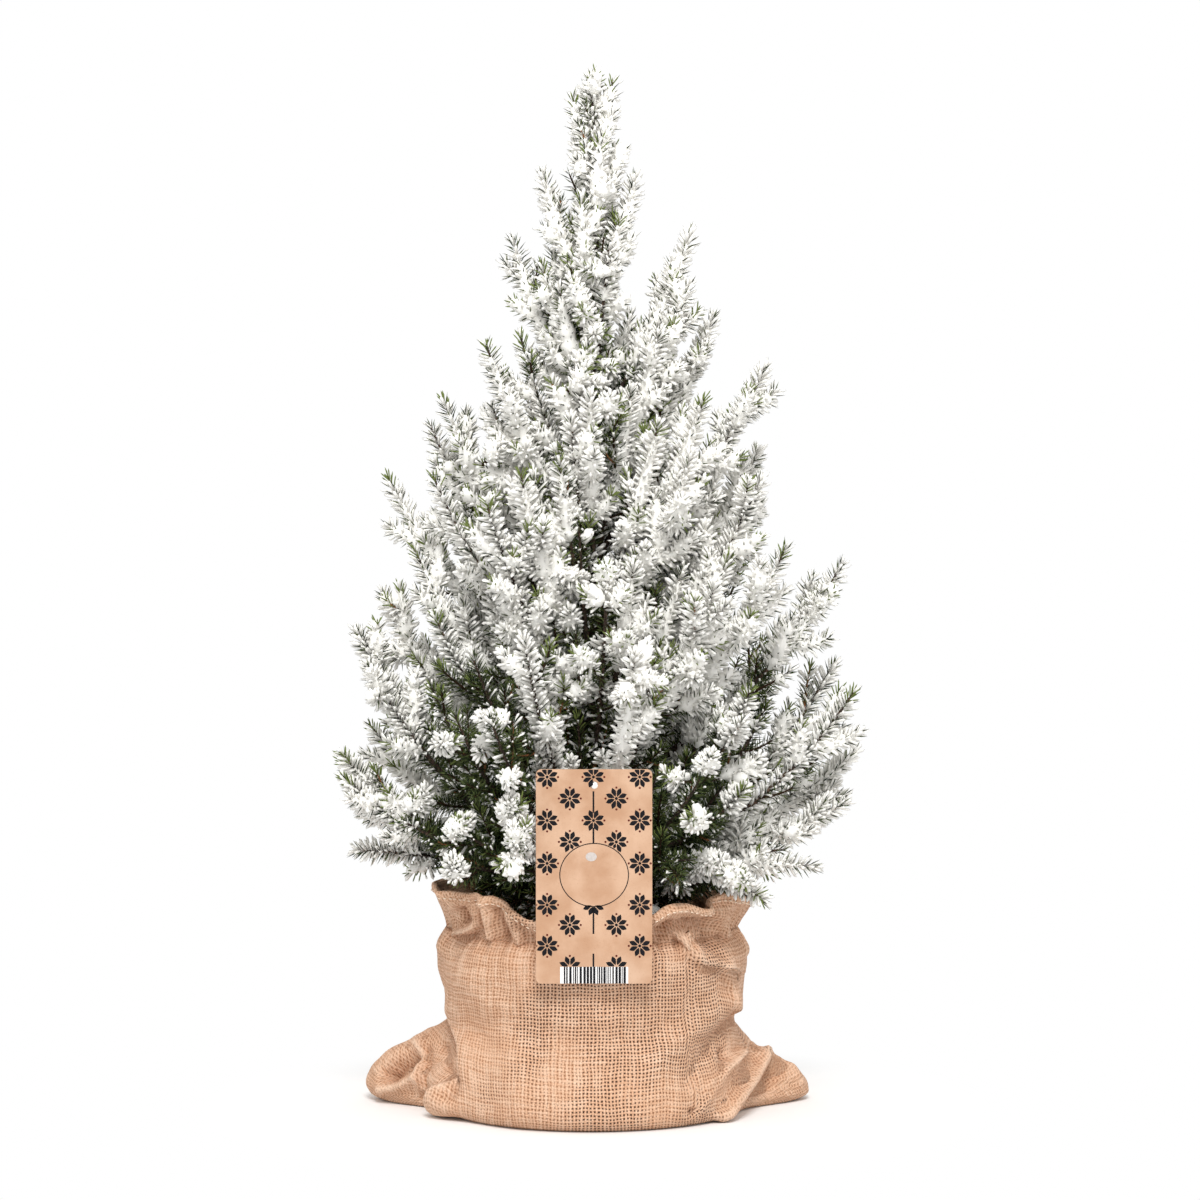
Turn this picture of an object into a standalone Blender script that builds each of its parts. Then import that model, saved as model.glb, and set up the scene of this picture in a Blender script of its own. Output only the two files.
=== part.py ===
"""A young spruce, its root ball wrapped in a gathered jute sack, with a card label.

Metres, +Z up.  The origin is the middle of the flat underside of the sack, and the
front, where the label hangs, faces -Y.  Azimuths are degrees from +X, seen from above.
"""

import math

import bmesh
import bpy
from mathutils import Matrix, Vector, noise

# ---------------------------------------------------------------- driving dimensions
TREE_TOP = 0.643  # tip of the leader's needles above the floor
GAP = 0.0003  # clearance between touching solids
GROWTH_GAP = 0.0008  # clearance between neighbouring masses of foliage

SACK_FLOOR = 0.003  # cloth under the root ball
SACK_WALL = 0.0032  # cloth with its folds, at the side
SACK_NECK_HEIGHT = 0.1095  # the gathered line
SACK_RIM_HEIGHT = 0.1345  # mean height of the ruffled rim
SACK_RIM_DIP = 0.012  # how far the rim sags behind the label
SACK_RIM_DIP_AZIMUTH = 268
SACK_RIM_DIP_SPREAD = 17  # degrees
SACK_RIM_LEAN = 0.0022  # one side of the rim stands higher
SACK_RIM_LEAN_AZIMUTH = 190
SACK_RUFFLES = 12
SACK_RUFFLE_DEPTH = 0.0018
SACK_SEGMENTS = 48
# half width of the body at heights given as fractions of the neck height
SACK_BODY = (
    (0.00, 0.0945),
    (0.05, 0.0972),
    (0.17, 0.0966),
    (0.33, 0.0935),
    (0.50, 0.0905),
    (0.68, 0.0945),
    (0.83, 0.0958),
    (0.93, 0.0925),
    (1.00, 0.0872),
)
# half width of the collar at heights given as fractions from neck to rim
SACK_COLLAR = ((0.30, 0.0900), (0.65, 0.0960), (1.00, 0.1000))
SACK_INNER_ROWS = (0.17, 0.50, 0.83)  # of the neck height, shared with the root ball
SACK_FLOOR_ROW = 0.08  # whose half width the flat floor inside has
SACK_COLLAR_INNER_ROWS = (0.97, 0.50, 0.00)  # from neck to rim
EAR_REACH = {"left": 0.1392, "right": 0.1350}  # tips of the flattened bottom corners
EAR_HEIGHT = 0.054  # where an ear leaves the body
EAR_SHARPNESS = 13  # higher is narrower, seen from above
EAR_FOOT = 0.92  # its reach at the floor, as a fraction of the most

SOIL_LEVEL = 0.1040
BALL_CLEARANCE = 0.0006
BALL_CROWN = 0.0015  # rise of the soil's surface towards the trunk

TRUNK_RADIUS = 0.0080  # above the flare
TRUNK_FLARE = 0.0055  # added at the soil
TRUNK_FLARE_HEIGHT = 0.014
TRUNK_TIP_RADIUS = 0.0009
TRUNK_TOP = 0.632
TRUNK_SWAY = 0.0045  # sideways bow near the top
TRUNK_SWAY_BACK = 0.4  # share of the bow that also goes backwards
TRUNK_FOOT_RINGS = (0.0, 0.003, 0.008, 0.016, 0.030)  # heights above the flat cut
TRUNK_STEPS = 12  # rings above those

BOUGH_THICKNESS = 0.46  # of the trunk's radius where it leaves
BOUGH_TIP_RADIUS = 0.0009
BOUGH_BURIED = 0.10  # of its growth line inside the mass, before trimming
BOUGH_STEPS = 4
ELBOW_OUT = 0.70  # where a level bough turns up, as a fraction of its reach
ELBOW_UP = 0.28  # and of its rise; steeper boughs turn up sooner and higher
ELBOW_OUT_STEEP = 0.05
ELBOW_UP_STEEP = 0.035

LABEL_WIDTH = 0.0688
LABEL_HEIGHT = 0.1270
LABEL_THICKNESS = 0.0008
LABEL_CENTRE = (0.0015, -0.1017, 0.1522)
LABEL_CORNER = 0.0030
LABEL_HOLE_RADIUS = 0.0024
LABEL_HOLE_DROP = 0.0095  # from the top edge

MASS_SIDES = 7
MASS_RINGS = 7
MASS_UNEVENNESS = 0.30
MASS_LUMP_LENGTH = 0.016  # along a mass from one swelling to the next
MASS_INNER_END = 0.55  # of its girth, at the end nearest the trunk
MASS_HEART = 0.75  # of the bough, a point that stays foliage when the mass is cut
SPIRE_RADIUS = 0.0105  # of the narrow needled shoot that ends each mass
LEADER_START = 0.330
# girth of the leader's foliage at heights given as fractions from its start to the top
LEADER_GIRTH = (
    (0.00, 0.020),
    (0.10, 0.036),
    (0.24, 0.041),
    (0.38, 0.038),
    (0.50, 0.032),
    (0.63, 0.020),
    (0.74, 0.026),
    (0.87, 0.019),
    (0.95, 0.011),
    (1.00, 0.003),
)

# Whorls of boughs, from the soil up: the height where the first bough leaves the
# trunk, the rise from one bough to the next, how far out the bare wood reaches as a
# fraction of the bough, and each bough's place, azimuth, reach, tip height and girth.
# The top whorl leaves the trunk inside the leader's foliage, so it has no bare wood.
WHORLS = {
    "low": (
        0.1260,
        0.0050,
        0.24,
        (
            ("right", 5, 0.1660, 0.188, 0.037),
            ("front", 283, 0.1035, 0.190, 0.036),
            ("left", 188, 0.1470, 0.160, 0.034),
            ("back_right", 60, 0.1440, 0.172, 0.046),
            ("front_right", 330, 0.1560, 0.150, 0.034),
            ("back_left", 130, 0.1440, 0.170, 0.046),
            ("front_left", 236, 0.1280, 0.172, 0.040),
        ),
    ),
    "middle": (
        0.1660,
        0.0062,
        0.22,
        (
            ("back", 96, 0.1450, 0.262, 0.044),
            ("front_right", 318, 0.1420, 0.272, 0.042),
            ("left", 193, 0.1570, 0.216, 0.034),
            ("right", 352, 0.1720, 0.245, 0.036),
            ("front_left", 243, 0.1260, 0.296, 0.042),
            ("back_right", 45, 0.1540, 0.272, 0.044),
            ("back_left", 147, 0.1520, 0.255, 0.044),
            ("front", 284, 0.1230, 0.266, 0.038),
        ),
    ),
    "high": (
        0.2200,
        0.0078,
        0.20,
        (
            ("side_left", 174, 0.1470, 0.302, 0.040),
            ("right", 2, 0.1590, 0.335, 0.044),
            ("front_left", 240, 0.0900, 0.390, 0.044),
            ("back_right", 36, 0.1280, 0.405, 0.048),
            ("back_left", 116, 0.1200, 0.362, 0.048),
            ("front_right", 322, 0.1360, 0.350, 0.048),
        ),
    ),
    "upper": (
        0.2760,
        0.0100,
        0.18,
        (
            ("left", 172, 0.1275, 0.389, 0.044),
            ("right", 350, 0.1090, 0.457, 0.050),
            ("back", 92, 0.0760, 0.455, 0.046),
            ("side_left", 206, 0.0780, 0.468, 0.050),
            ("back_left", 158, 0.1070, 0.430, 0.038),
        ),
    ),
    "top": (
        0.3500,
        0.0100,
        0.00,
        (
            ("left", 176, 0.0500, 0.537, 0.026),
            ("right", 3, 0.0570, 0.542, 0.034),
        ),
    ),
}

# ---------------------------------------------------------------- collections
for old in list(bpy.data.objects):
    bpy.data.objects.remove(old, do_unlink=True)

tree_collection = bpy.data.collections.new("sapling_with_root_ball")
cutter_collection = bpy.data.collections.new("cutters")
bpy.context.scene.collection.children.link(tree_collection)
bpy.context.scene.collection.children.link(cutter_collection)


def finish(name, colour, roughness):
    """A plain Principled material."""
    material = bpy.data.materials.new(name)
    material.use_nodes = True
    shader = material.node_tree.nodes["Principled BSDF"]
    shader.inputs["Base Color"].default_value = (*colour, 1)
    shader.inputs["Roughness"].default_value = roughness
    shader.inputs["Metallic"].default_value = 0
    return material


def new_object(name, mesh, collection, material=None):
    thing = bpy.data.objects.new(name, mesh)
    collection.objects.link(thing)
    if material:
        mesh.materials.append(material)
    if collection is cutter_collection:
        thing.hide_render = True
        thing.display_type = "WIRE"
    return thing


def loft(rings):
    """A closed mesh through rings of the same number of points, first ring to last."""
    shape = bmesh.new()
    rows = [[shape.verts.new(point) for point in ring] for ring in rings]
    sides = len(rows[0])
    for low, high in zip(rows, rows[1:]):
        for i in range(sides):
            j = (i + 1) % sides
            shape.faces.new((low[i], low[j], high[j], high[i]))
    shape.faces.new(reversed(rows[0]))
    shape.faces.new(rows[-1])
    bmesh.ops.recalc_face_normals(shape, faces=shape.faces)
    bmesh.ops.triangulate(shape, faces=shape.faces, quad_method="FIXED")
    mesh = bpy.data.meshes.new("loft")
    shape.to_mesh(mesh)
    shape.free()
    return mesh


def evaluated_mesh(thing):
    bpy.context.view_layer.update()
    graph = bpy.context.evaluated_depsgraph_get()
    return bpy.data.meshes.new_from_object(thing.evaluated_get(graph))


def keep_nearest_island(mesh, point):
    """Keeps only the closed body that comes nearest to the point."""
    shape = bmesh.new()
    shape.from_mesh(mesh)
    shape.verts.ensure_lookup_table()
    seen = set()
    islands = []
    for start in shape.verts:
        if start in seen:
            continue
        island = []
        stack = [start]
        seen.add(start)
        while stack:
            vert = stack.pop()
            island.append(vert)
            for edge in vert.link_edges:
                other = edge.other_vert(vert)
                if other not in seen:
                    seen.add(other)
                    stack.append(other)
        islands.append(island)
    best = min(islands, key=lambda island: min((v.co - point).length for v in island))
    spare = [vert for island in islands if island is not best for vert in island]
    bmesh.ops.delete(shape, geom=spare, context="VERTS")
    shape.to_mesh(mesh)
    shape.free()


def boxes_touch(a, b):
    low_a, high_a = a
    low_b, high_b = b
    return all(low_a[i] < high_b[i] and low_b[i] < high_a[i] for i in range(3))


def box_of(thing):
    points = [thing.matrix_world @ vert.co for vert in thing.data.vertices]
    low = [min(point[i] for point in points) for i in range(3)]
    high = [max(point[i] for point in points) for i in range(3)]
    return low, high


def cut(thing, cutters, keep):
    """Takes the cutters away from a mesh object and keeps its part nearest to a point."""
    near = [tool for tool in cutters if boxes_touch(box_of(thing), box_of(tool))]
    for tool in near:
        step = thing.modifiers.new(tool.name, "BOOLEAN")
        step.operation = "DIFFERENCE"
        step.solver = "EXACT"
        step.object = tool
    mesh = evaluated_mesh(thing)
    thing.modifiers.clear()
    keep_nearest_island(mesh, Vector(keep))
    thing.data = mesh


def around(azimuth, radius, height):
    angle = math.radians(azimuth)
    return Vector((radius * math.cos(angle), radius * math.sin(angle), height))


def interpolate(table, x):
    """Reads a table of (x, value) rows, straight between rows."""
    for (x0, value0), (x1, value1) in zip(table, table[1:]):
        if x <= x1:
            share = (x - x0) / (x1 - x0)
            return value0 + share * (value1 - value0)
    return table[-1][1]


# ---------------------------------------------------------------- trunk
def trunk_line(height):
    """Middle of the trunk: upright at the soil, with a slight bow near the top."""
    share = (height - SOIL_LEVEL) / (TRUNK_TOP - SOIL_LEVEL)
    bow = TRUNK_SWAY * math.sin(math.pi * share) * share
    return Vector((bow, TRUNK_SWAY_BACK * bow, height))


def trunk_radius(height):
    share = min(1.0, max(0.0, (height - SOIL_LEVEL) / (TRUNK_TOP - SOIL_LEVEL)))
    flare = TRUNK_FLARE * math.exp(-((height - SOIL_LEVEL) / TRUNK_FLARE_HEIGHT))
    return TRUNK_TIP_RADIUS + (TRUNK_RADIUS - TRUNK_TIP_RADIUS) * (1 - share) ** 0.9 + flare


def limb(name, points, radii, collection, sides_step):
    """A tapering limb: a bevelled curve, made a closed mesh."""
    curve = bpy.data.curves.new(name, "CURVE")
    curve.dimensions = "3D"
    curve.bevel_depth = 1.0
    curve.bevel_resolution = sides_step
    curve.use_fill_caps = True
    spline = curve.splines.new("POLY")
    spline.points.add(len(points) - 1)
    for point, place, radius in zip(spline.points, points, radii):
        point.co = (*place, 1)
        point.radius = radius
    guide = bpy.data.objects.new(name + "_line", curve)
    bpy.context.scene.collection.objects.link(guide)
    mesh = evaluated_mesh(guide)
    bpy.data.objects.remove(guide, do_unlink=True)
    shape = bmesh.new()
    shape.from_mesh(mesh)
    bmesh.ops.remove_doubles(shape, verts=shape.verts, dist=0.00001)
    bmesh.ops.recalc_face_normals(shape, faces=shape.faces)
    shape.to_mesh(mesh)
    shape.free()
    return new_object(name, mesh, collection)


def trunk(name, collection, grow):
    start = SOIL_LEVEL + BALL_CROWN + GAP - grow
    heights = [start + rise for rise in TRUNK_FOOT_RINGS]
    first = heights[-1]
    step = (TRUNK_TOP + grow - first) / TRUNK_STEPS
    heights += [first + step * i for i in range(1, TRUNK_STEPS + 1)]
    points = [trunk_line(height) for height in heights]
    radii = [trunk_radius(height) + grow for height in heights]
    return limb(name, points, radii, collection, 2)


bark = finish("bark", (0.20, 0.12, 0.075), 0.85)
trunk_object = trunk("trunk", tree_collection, 0)
trunk_object.data.materials.append(bark)
trunk_object.data.shade_smooth()
trunk_cutter = trunk("trunk_clearance", cutter_collection, GAP)


# ---------------------------------------------------------------- sack and root ball
def rim_height(azimuth):
    """Top of the ruffled collar, which sags behind the label."""
    away = (azimuth - SACK_RIM_DIP_AZIMUTH + 180) % 360 - 180
    dip = SACK_RIM_DIP * math.exp(-((away / SACK_RIM_DIP_SPREAD) ** 2))
    lean = SACK_RIM_LEAN * math.cos(math.radians(azimuth - SACK_RIM_LEAN_AZIMUTH))
    return SACK_RIM_HEIGHT - dip + lean


def ear_length(azimuth, height, body):
    """How far a flattened bottom corner reaches past the body."""
    side = "right" if math.cos(math.radians(azimuth)) > 0 else "left"
    share = min(1.0, height / EAR_HEIGHT)
    slope = (1 - share**2) ** 0.75 * min(1.0, EAR_FOOT + share)
    along = abs(math.cos(math.radians(azimuth))) ** EAR_SHARPNESS
    return (EAR_REACH[side] - body) * slope * along


def sack_point(azimuth, share, grow, inner):
    """A point of the sack: share 0 to 1 up the body, then 1 to 2 up the collar."""
    wall = SACK_WALL if inner else 0
    if share <= 1:
        height = share * SACK_NECK_HEIGHT
        radius = interpolate(SACK_BODY, share)
        if not inner:
            radius += ear_length(azimuth, height, radius)
    else:
        collar = share - 1
        height = SACK_NECK_HEIGHT + collar * (rim_height(azimuth) - SACK_NECK_HEIGHT)
        radius = interpolate(((0, SACK_BODY[-1][1]), *SACK_COLLAR), collar)
        radius += collar * SACK_RUFFLE_DEPTH * math.sin(math.radians(SACK_RUFFLES * azimuth))
    radius += -wall - grow if inner else grow
    return around(azimuth, radius, height)


def sack_mesh(grow):
    azimuths = [360 * i / SACK_SEGMENTS for i in range(SACK_SEGMENTS)]
    outer = [share for share, _ in SACK_BODY] + [1 + share for share, _ in SACK_COLLAR]
    inner = [1 + share for share in SACK_COLLAR_INNER_ROWS] + list(reversed(SACK_INNER_ROWS))
    rings = [[sack_point(a, share, grow, False) for a in azimuths] for share in outer]
    rings += [[sack_point(a, share, grow, True) for a in azimuths] for share in inner]
    floor = [sack_point(a, SACK_FLOOR_ROW, grow, True) for a in azimuths]
    rings.append([Vector((p.x, p.y, SACK_FLOOR)) for p in floor])
    for point in rings[0]:
        point.z -= grow
    rim = len(outer) - 1
    for point in rings[rim] + rings[rim + 1]:
        point.z += grow
    return loft(rings)


jute = finish("jute", (0.60, 0.40, 0.25), 0.95)
sack = new_object("sack", sack_mesh(0), tree_collection, jute)
sack_cutter = new_object("sack_clearance", sack_mesh(GAP), cutter_collection)

# the root ball fills the sack: a turned solid with a slightly crowned top
ball_rows = [(0.0, SACK_FLOOR + BALL_CLEARANCE)]
for share in (SACK_FLOOR_ROW, *SACK_INNER_ROWS):
    radius = interpolate(SACK_BODY, share) - SACK_WALL - BALL_CLEARANCE
    height = max(share * SACK_NECK_HEIGHT, SACK_FLOOR + BALL_CLEARANCE)
    ball_rows.append((radius, height))
ball_rows.append((SACK_BODY[-1][1] - SACK_WALL - BALL_CLEARANCE, SOIL_LEVEL))
ball_rows.append((2 * (TRUNK_RADIUS + TRUNK_FLARE), SOIL_LEVEL + BALL_CROWN))
ball_rows.append((0.0, SOIL_LEVEL + BALL_CROWN))
ball_mesh = bpy.data.meshes.new("root_ball")
ball_mesh.from_pydata(
    [(radius, 0, height) for radius, height in reversed(ball_rows)],
    [(i, i + 1) for i in range(len(ball_rows) - 1)],
    [],
)
soil = finish("soil", (0.045, 0.030, 0.020), 1.0)
root_ball = new_object("root_ball", ball_mesh, tree_collection, soil)
turn = root_ball.modifiers.new("turn", "SCREW")
turn.axis = "Z"
turn.angle = math.tau
turn.steps = 24
turn.render_steps = 24
turn.use_merge_vertices = True
turn.merge_threshold = 0.0001

# ---------------------------------------------------------------- label
outline = bpy.data.curves.new("label", "CURVE")
outline.dimensions = "2D"
outline.fill_mode = "BOTH"
outline.extrude = LABEL_THICKNESS / 2


def add_outline(points):
    spline = outline.splines.new("POLY")
    spline.points.add(len(points) - 1)
    for point, place in zip(spline.points, points):
        point.co = (*place, 0, 1)
    spline.use_cyclic_u = True


def arc(centre, radius, start, end, steps):
    turn_step = math.radians(end - start) / steps
    angles = [math.radians(start) + turn_step * i for i in range(steps + 1)]
    return [(centre[0] + radius * math.cos(a), centre[1] + radius * math.sin(a)) for a in angles]


corner_x = LABEL_WIDTH / 2 - LABEL_CORNER
corner_y = LABEL_HEIGHT / 2 - LABEL_CORNER
card = []
for quarter, (side_x, side_y) in enumerate(((1, 1), (-1, 1), (-1, -1), (1, -1))):
    centre = (side_x * corner_x, side_y * corner_y)
    card += arc(centre, LABEL_CORNER, 90 * quarter, 90 * quarter + 90, 3)
add_outline(card)
hole_centre = (0, LABEL_HEIGHT / 2 - LABEL_HOLE_DROP)
add_outline(arc(hole_centre, LABEL_HOLE_RADIUS, 0, 330, 11))
kraft = finish("kraft_card", (0.70, 0.46, 0.27), 0.8)
stand_up = Matrix.Translation(LABEL_CENTRE) @ Matrix.Rotation(math.radians(90), 4, "X")
label_guide = bpy.data.objects.new("label_outline", outline)
label_guide.matrix_world = stand_up
bpy.context.scene.collection.objects.link(label_guide)
card_mesh = evaluated_mesh(label_guide)
bpy.data.objects.remove(label_guide, do_unlink=True)
card_mesh.transform(stand_up)
card_shape = bmesh.new()
card_shape.from_mesh(card_mesh)
bmesh.ops.remove_doubles(card_shape, verts=card_shape.verts, dist=0.00001)
bmesh.ops.recalc_face_normals(card_shape, faces=card_shape.faces)
card_shape.to_mesh(card_mesh)
card_shape.free()
label = new_object("label", card_mesh, tree_collection, kraft)

clear_mesh = bpy.data.meshes.new("label_clearance")
clear_shape = bmesh.new()
bmesh.ops.create_cube(clear_shape, size=1)
clear_size = (LABEL_WIDTH + 2 * GAP, LABEL_THICKNESS + 2 * GAP, LABEL_HEIGHT + 2 * GAP)
bmesh.ops.scale(clear_shape, vec=clear_size, verts=clear_shape.verts)
bmesh.ops.translate(clear_shape, vec=LABEL_CENTRE, verts=clear_shape.verts)
clear_shape.to_mesh(clear_mesh)
clear_shape.free()
label_cutter = new_object("label_clearance", clear_mesh, cutter_collection)


# ---------------------------------------------------------------- boughs and foliage
class Growth:
    """One bough and the mass of foliage at its end, on one upturned line."""

    def __init__(self, whorl, number, seed):
        root_height, rise, bare, boughs = WHORLS[whorl]
        self.place, self.azimuth, self.reach, self.tip_height, self.girth = boughs[number]
        self.root_height = root_height + rise * number
        self.bare = bare
        self.seed = seed
        self.name = whorl + "_" + self.place

    def point(self, share):
        """A quadratic curve from the trunk, out and then up to the tip."""
        root = trunk_line(self.root_height)
        lift = self.tip_height - self.root_height
        steepness = lift / self.reach
        out = (ELBOW_OUT - ELBOW_OUT_STEEP * steepness) * self.reach
        up = (ELBOW_UP + ELBOW_UP_STEEP * steepness) * lift
        elbow = around(self.azimuth, out, self.root_height + up)
        tip = around(self.azimuth, self.reach, self.tip_height)
        return (1 - share) ** 2 * root + 2 * share * (1 - share) * elbow + share**2 * tip

    def limb(self, name, collection, grow):
        end = self.bare + BOUGH_BURIED
        shares = [end * i / BOUGH_STEPS for i in range(BOUGH_STEPS + 1)]
        thick = BOUGH_THICKNESS * trunk_radius(self.root_height)
        radii = [thick + (BOUGH_TIP_RADIUS - thick) * share for share in shares]
        points = [self.point(share) for share in shares]
        return limb(name, points, [radius + grow for radius in radii], collection, 1)

    def radius(self, share):
        """Girth along the mass, 0 at its inner end and 1 at its tip."""
        bush = math.sin(math.pi * min(1.0, (share + 0.16) / 1.04)) ** 0.75
        spire = SPIRE_RADIUS * (1 - 0.65 * share)
        return (self.girth - SPIRE_RADIUS) * bush * (1 - 0.45 * share) + spire

    def mass_rings(self, grow):
        length = (self.point(1) - self.point(self.bare)).length
        rings = []
        for i in range(MASS_RINGS + 1):
            share = i / MASS_RINGS
            along = self.bare + (1 - self.bare) * share
            middle = self.point(along)
            ahead = (self.point(along + 0.01) - self.point(along - 0.01)).normalized()
            side = ahead.cross(Vector((0, 0, 1))).normalized()
            over = side.cross(ahead)
            if i == 0:
                middle = middle - grow * ahead
            if i == MASS_RINGS:
                middle = middle + grow * ahead
            radius = self.radius(share)
            if i == 0:
                radius *= MASS_INNER_END
            ring = []
            for k in range(MASS_SIDES):
                angle = math.tau * (k + 0.5 * (i % 2)) / MASS_SIDES
                out = math.cos(angle) * side + math.sin(angle) * over
                place = Vector((self.seed * 7.3, 0, share * length / MASS_LUMP_LENGTH))
                lump = noise.noise(0.9 * out + place)
                size = radius * (1 + MASS_UNEVENNESS * lump) + grow
                ring.append(middle + size * out)
            rings.append(ring)
        return rings


growths = []
for whorl, (_, _, _, boughs) in WHORLS.items():
    for number in range(len(boughs)):
        growths.append(Growth(whorl, number, len(growths) + 1))

needles = finish("frosted_needles", (0.62, 0.66, 0.60), 0.9)


def leader_rings(grow):
    rings = []
    for i, (share, girth) in enumerate(LEADER_GIRTH):
        height = LEADER_START + share * (TREE_TOP - LEADER_START)
        if i == 0:
            height -= grow
        if i == len(LEADER_GIRTH) - 1:
            height += grow
        middle = trunk_line(min(height, TRUNK_TOP))
        middle.z = height
        ring = []
        for k in range(MASS_SIDES):
            out = around(360 * (k + 0.5 * (i % 2)) / MASS_SIDES, 1, 0)
            lump = noise.noise(out * 0.9 + Vector((0, 0, 5.0 * share)))
            ring.append(middle + (girth * (1 + 0.5 * MASS_UNEVENNESS * lump) + grow) * out)
        rings.append(ring)
    return rings


bough_clearances = {}
for growth in growths:
    if not growth.bare:
        continue
    tool = growth.limb("clear_bough_" + growth.name, cutter_collection, GAP)
    bough_clearances[growth.name] = tool

fixed_cutters = [trunk_cutter, sack_cutter, label_cutter]
mass_cutters = []
leader_mass = new_object("mass_leader", loft(leader_rings(0)), tree_collection)
leader_mass.data.materials.append(needles)
cut(leader_mass, [trunk_cutter, *bough_clearances.values()], (0, 0, TREE_TOP))
mass_cutters.append(new_object("clear_leader", loft(leader_rings(GROWTH_GAP)), cutter_collection))

for growth in reversed(growths):
    name = growth.name
    mass = new_object("mass_" + name, loft(growth.mass_rings(0)), tree_collection)
    mass.data.materials.append(needles)
    others = [tool for key, tool in bough_clearances.items() if key != name]
    cut(mass, fixed_cutters + others + mass_cutters, growth.point(MASS_HEART))
    if growth.bare:
        own = new_object("clear_mass_" + name, loft(growth.mass_rings(GAP)), cutter_collection)
        bough = growth.limb("bough_" + name, tree_collection, 0)
        bough.data.materials.append(bark)
        cut(bough, [trunk_cutter, own], growth.point(0))
        bough.data.shade_smooth()
    wide = new_object("near_mass_" + name, loft(growth.mass_rings(GROWTH_GAP)), cutter_collection)
    mass_cutters.append(wide)
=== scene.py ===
import math

import bmesh
import bpy
import numpy as np
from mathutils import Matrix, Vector, noise


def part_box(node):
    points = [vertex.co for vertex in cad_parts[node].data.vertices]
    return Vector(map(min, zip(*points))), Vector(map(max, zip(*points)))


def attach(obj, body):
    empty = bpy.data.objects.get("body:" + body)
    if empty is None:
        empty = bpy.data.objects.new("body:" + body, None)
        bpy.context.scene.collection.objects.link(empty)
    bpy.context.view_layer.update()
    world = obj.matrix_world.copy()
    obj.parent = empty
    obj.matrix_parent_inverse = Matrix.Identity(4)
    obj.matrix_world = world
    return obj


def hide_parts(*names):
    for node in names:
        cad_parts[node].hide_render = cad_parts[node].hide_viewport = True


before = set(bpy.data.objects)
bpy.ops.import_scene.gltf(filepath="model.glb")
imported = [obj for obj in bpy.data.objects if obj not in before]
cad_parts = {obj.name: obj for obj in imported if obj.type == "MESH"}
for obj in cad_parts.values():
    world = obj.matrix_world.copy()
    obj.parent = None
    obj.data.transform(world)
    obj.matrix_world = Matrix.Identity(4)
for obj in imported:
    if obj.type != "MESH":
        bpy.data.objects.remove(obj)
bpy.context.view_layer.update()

# ================================================================ camera
# The eye stands 2.1 m in front of the label, at the height of the crown's middle, and
# looks a little down.
EYE_DISTANCE = 2.1
EYE_HEIGHT = 0.36
EYE_SIDEWAYS = 0.005
EYE_TILT = 1.27  # degrees below level
LENS = 101.6  # millimetres, as is the film's width
FILM_WIDTH = 36


def put(name, data):
    """A new object of the scene, with its data."""
    thing = bpy.data.objects.new(name, data)
    bpy.context.collection.objects.link(thing)
    return thing


camera_data = bpy.data.cameras.new("camera")
camera_data.lens = LENS
camera_data.sensor_width = FILM_WIDTH
camera_data.sensor_fit = "HORIZONTAL"
camera = put("camera", camera_data)
camera.location = (EYE_SIDEWAYS, -EYE_DISTANCE, EYE_HEIGHT)
camera.rotation_euler = (math.radians(90 - EYE_TILT), 0, 0)
bpy.context.scene.camera = camera

# ================================================================ growth
# A dwarf spruce grows a leader and upturned spires. Each spire is a bough with a needled
# leading shoot, side shoots that are longer further from its tip, and twigs on those.
GROWTH_SEED = 29
UP = np.array((0.0, 0.0, 1.0))
SOIL_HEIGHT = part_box("trunk")[0].z
TRUNK_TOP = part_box("trunk")[1].z
TRUNK_RADIUS = 0.0080
TRUNK_TIP_RADIUS = 0.0009
TRUNK_FLARE = 0.0055
TRUNK_FLARE_HEIGHT = 0.014
TRUNK_SWAY = 0.0045
TREE_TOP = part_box("mass_leader")[1].z
GOLDEN_ANGLE = math.radians(137.508)
SHOOT_POINTS = 6  # along each shoot's line
SHORTEST_SHOOT = 0.012
SHOOT_TIP = 0.0005  # radius
SIDE_SPACING = 0.0134
SIDE_SHARE = 0.84  # of a shoot's length, from its tip, has side shoots
SPLAY = (38, 56)  # degrees between a shoot and its side shoots
OLD_WOOD_FROM = 0.085  # behind a bough's tip
NEW_WOOD_UPTO = 0.05
NEW_WOOD_SHARE = 0.38
OLD_FULLNESS = 0.6
FORK_LENGTH = 0.025  # longer side shoots have twigs of their own

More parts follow.
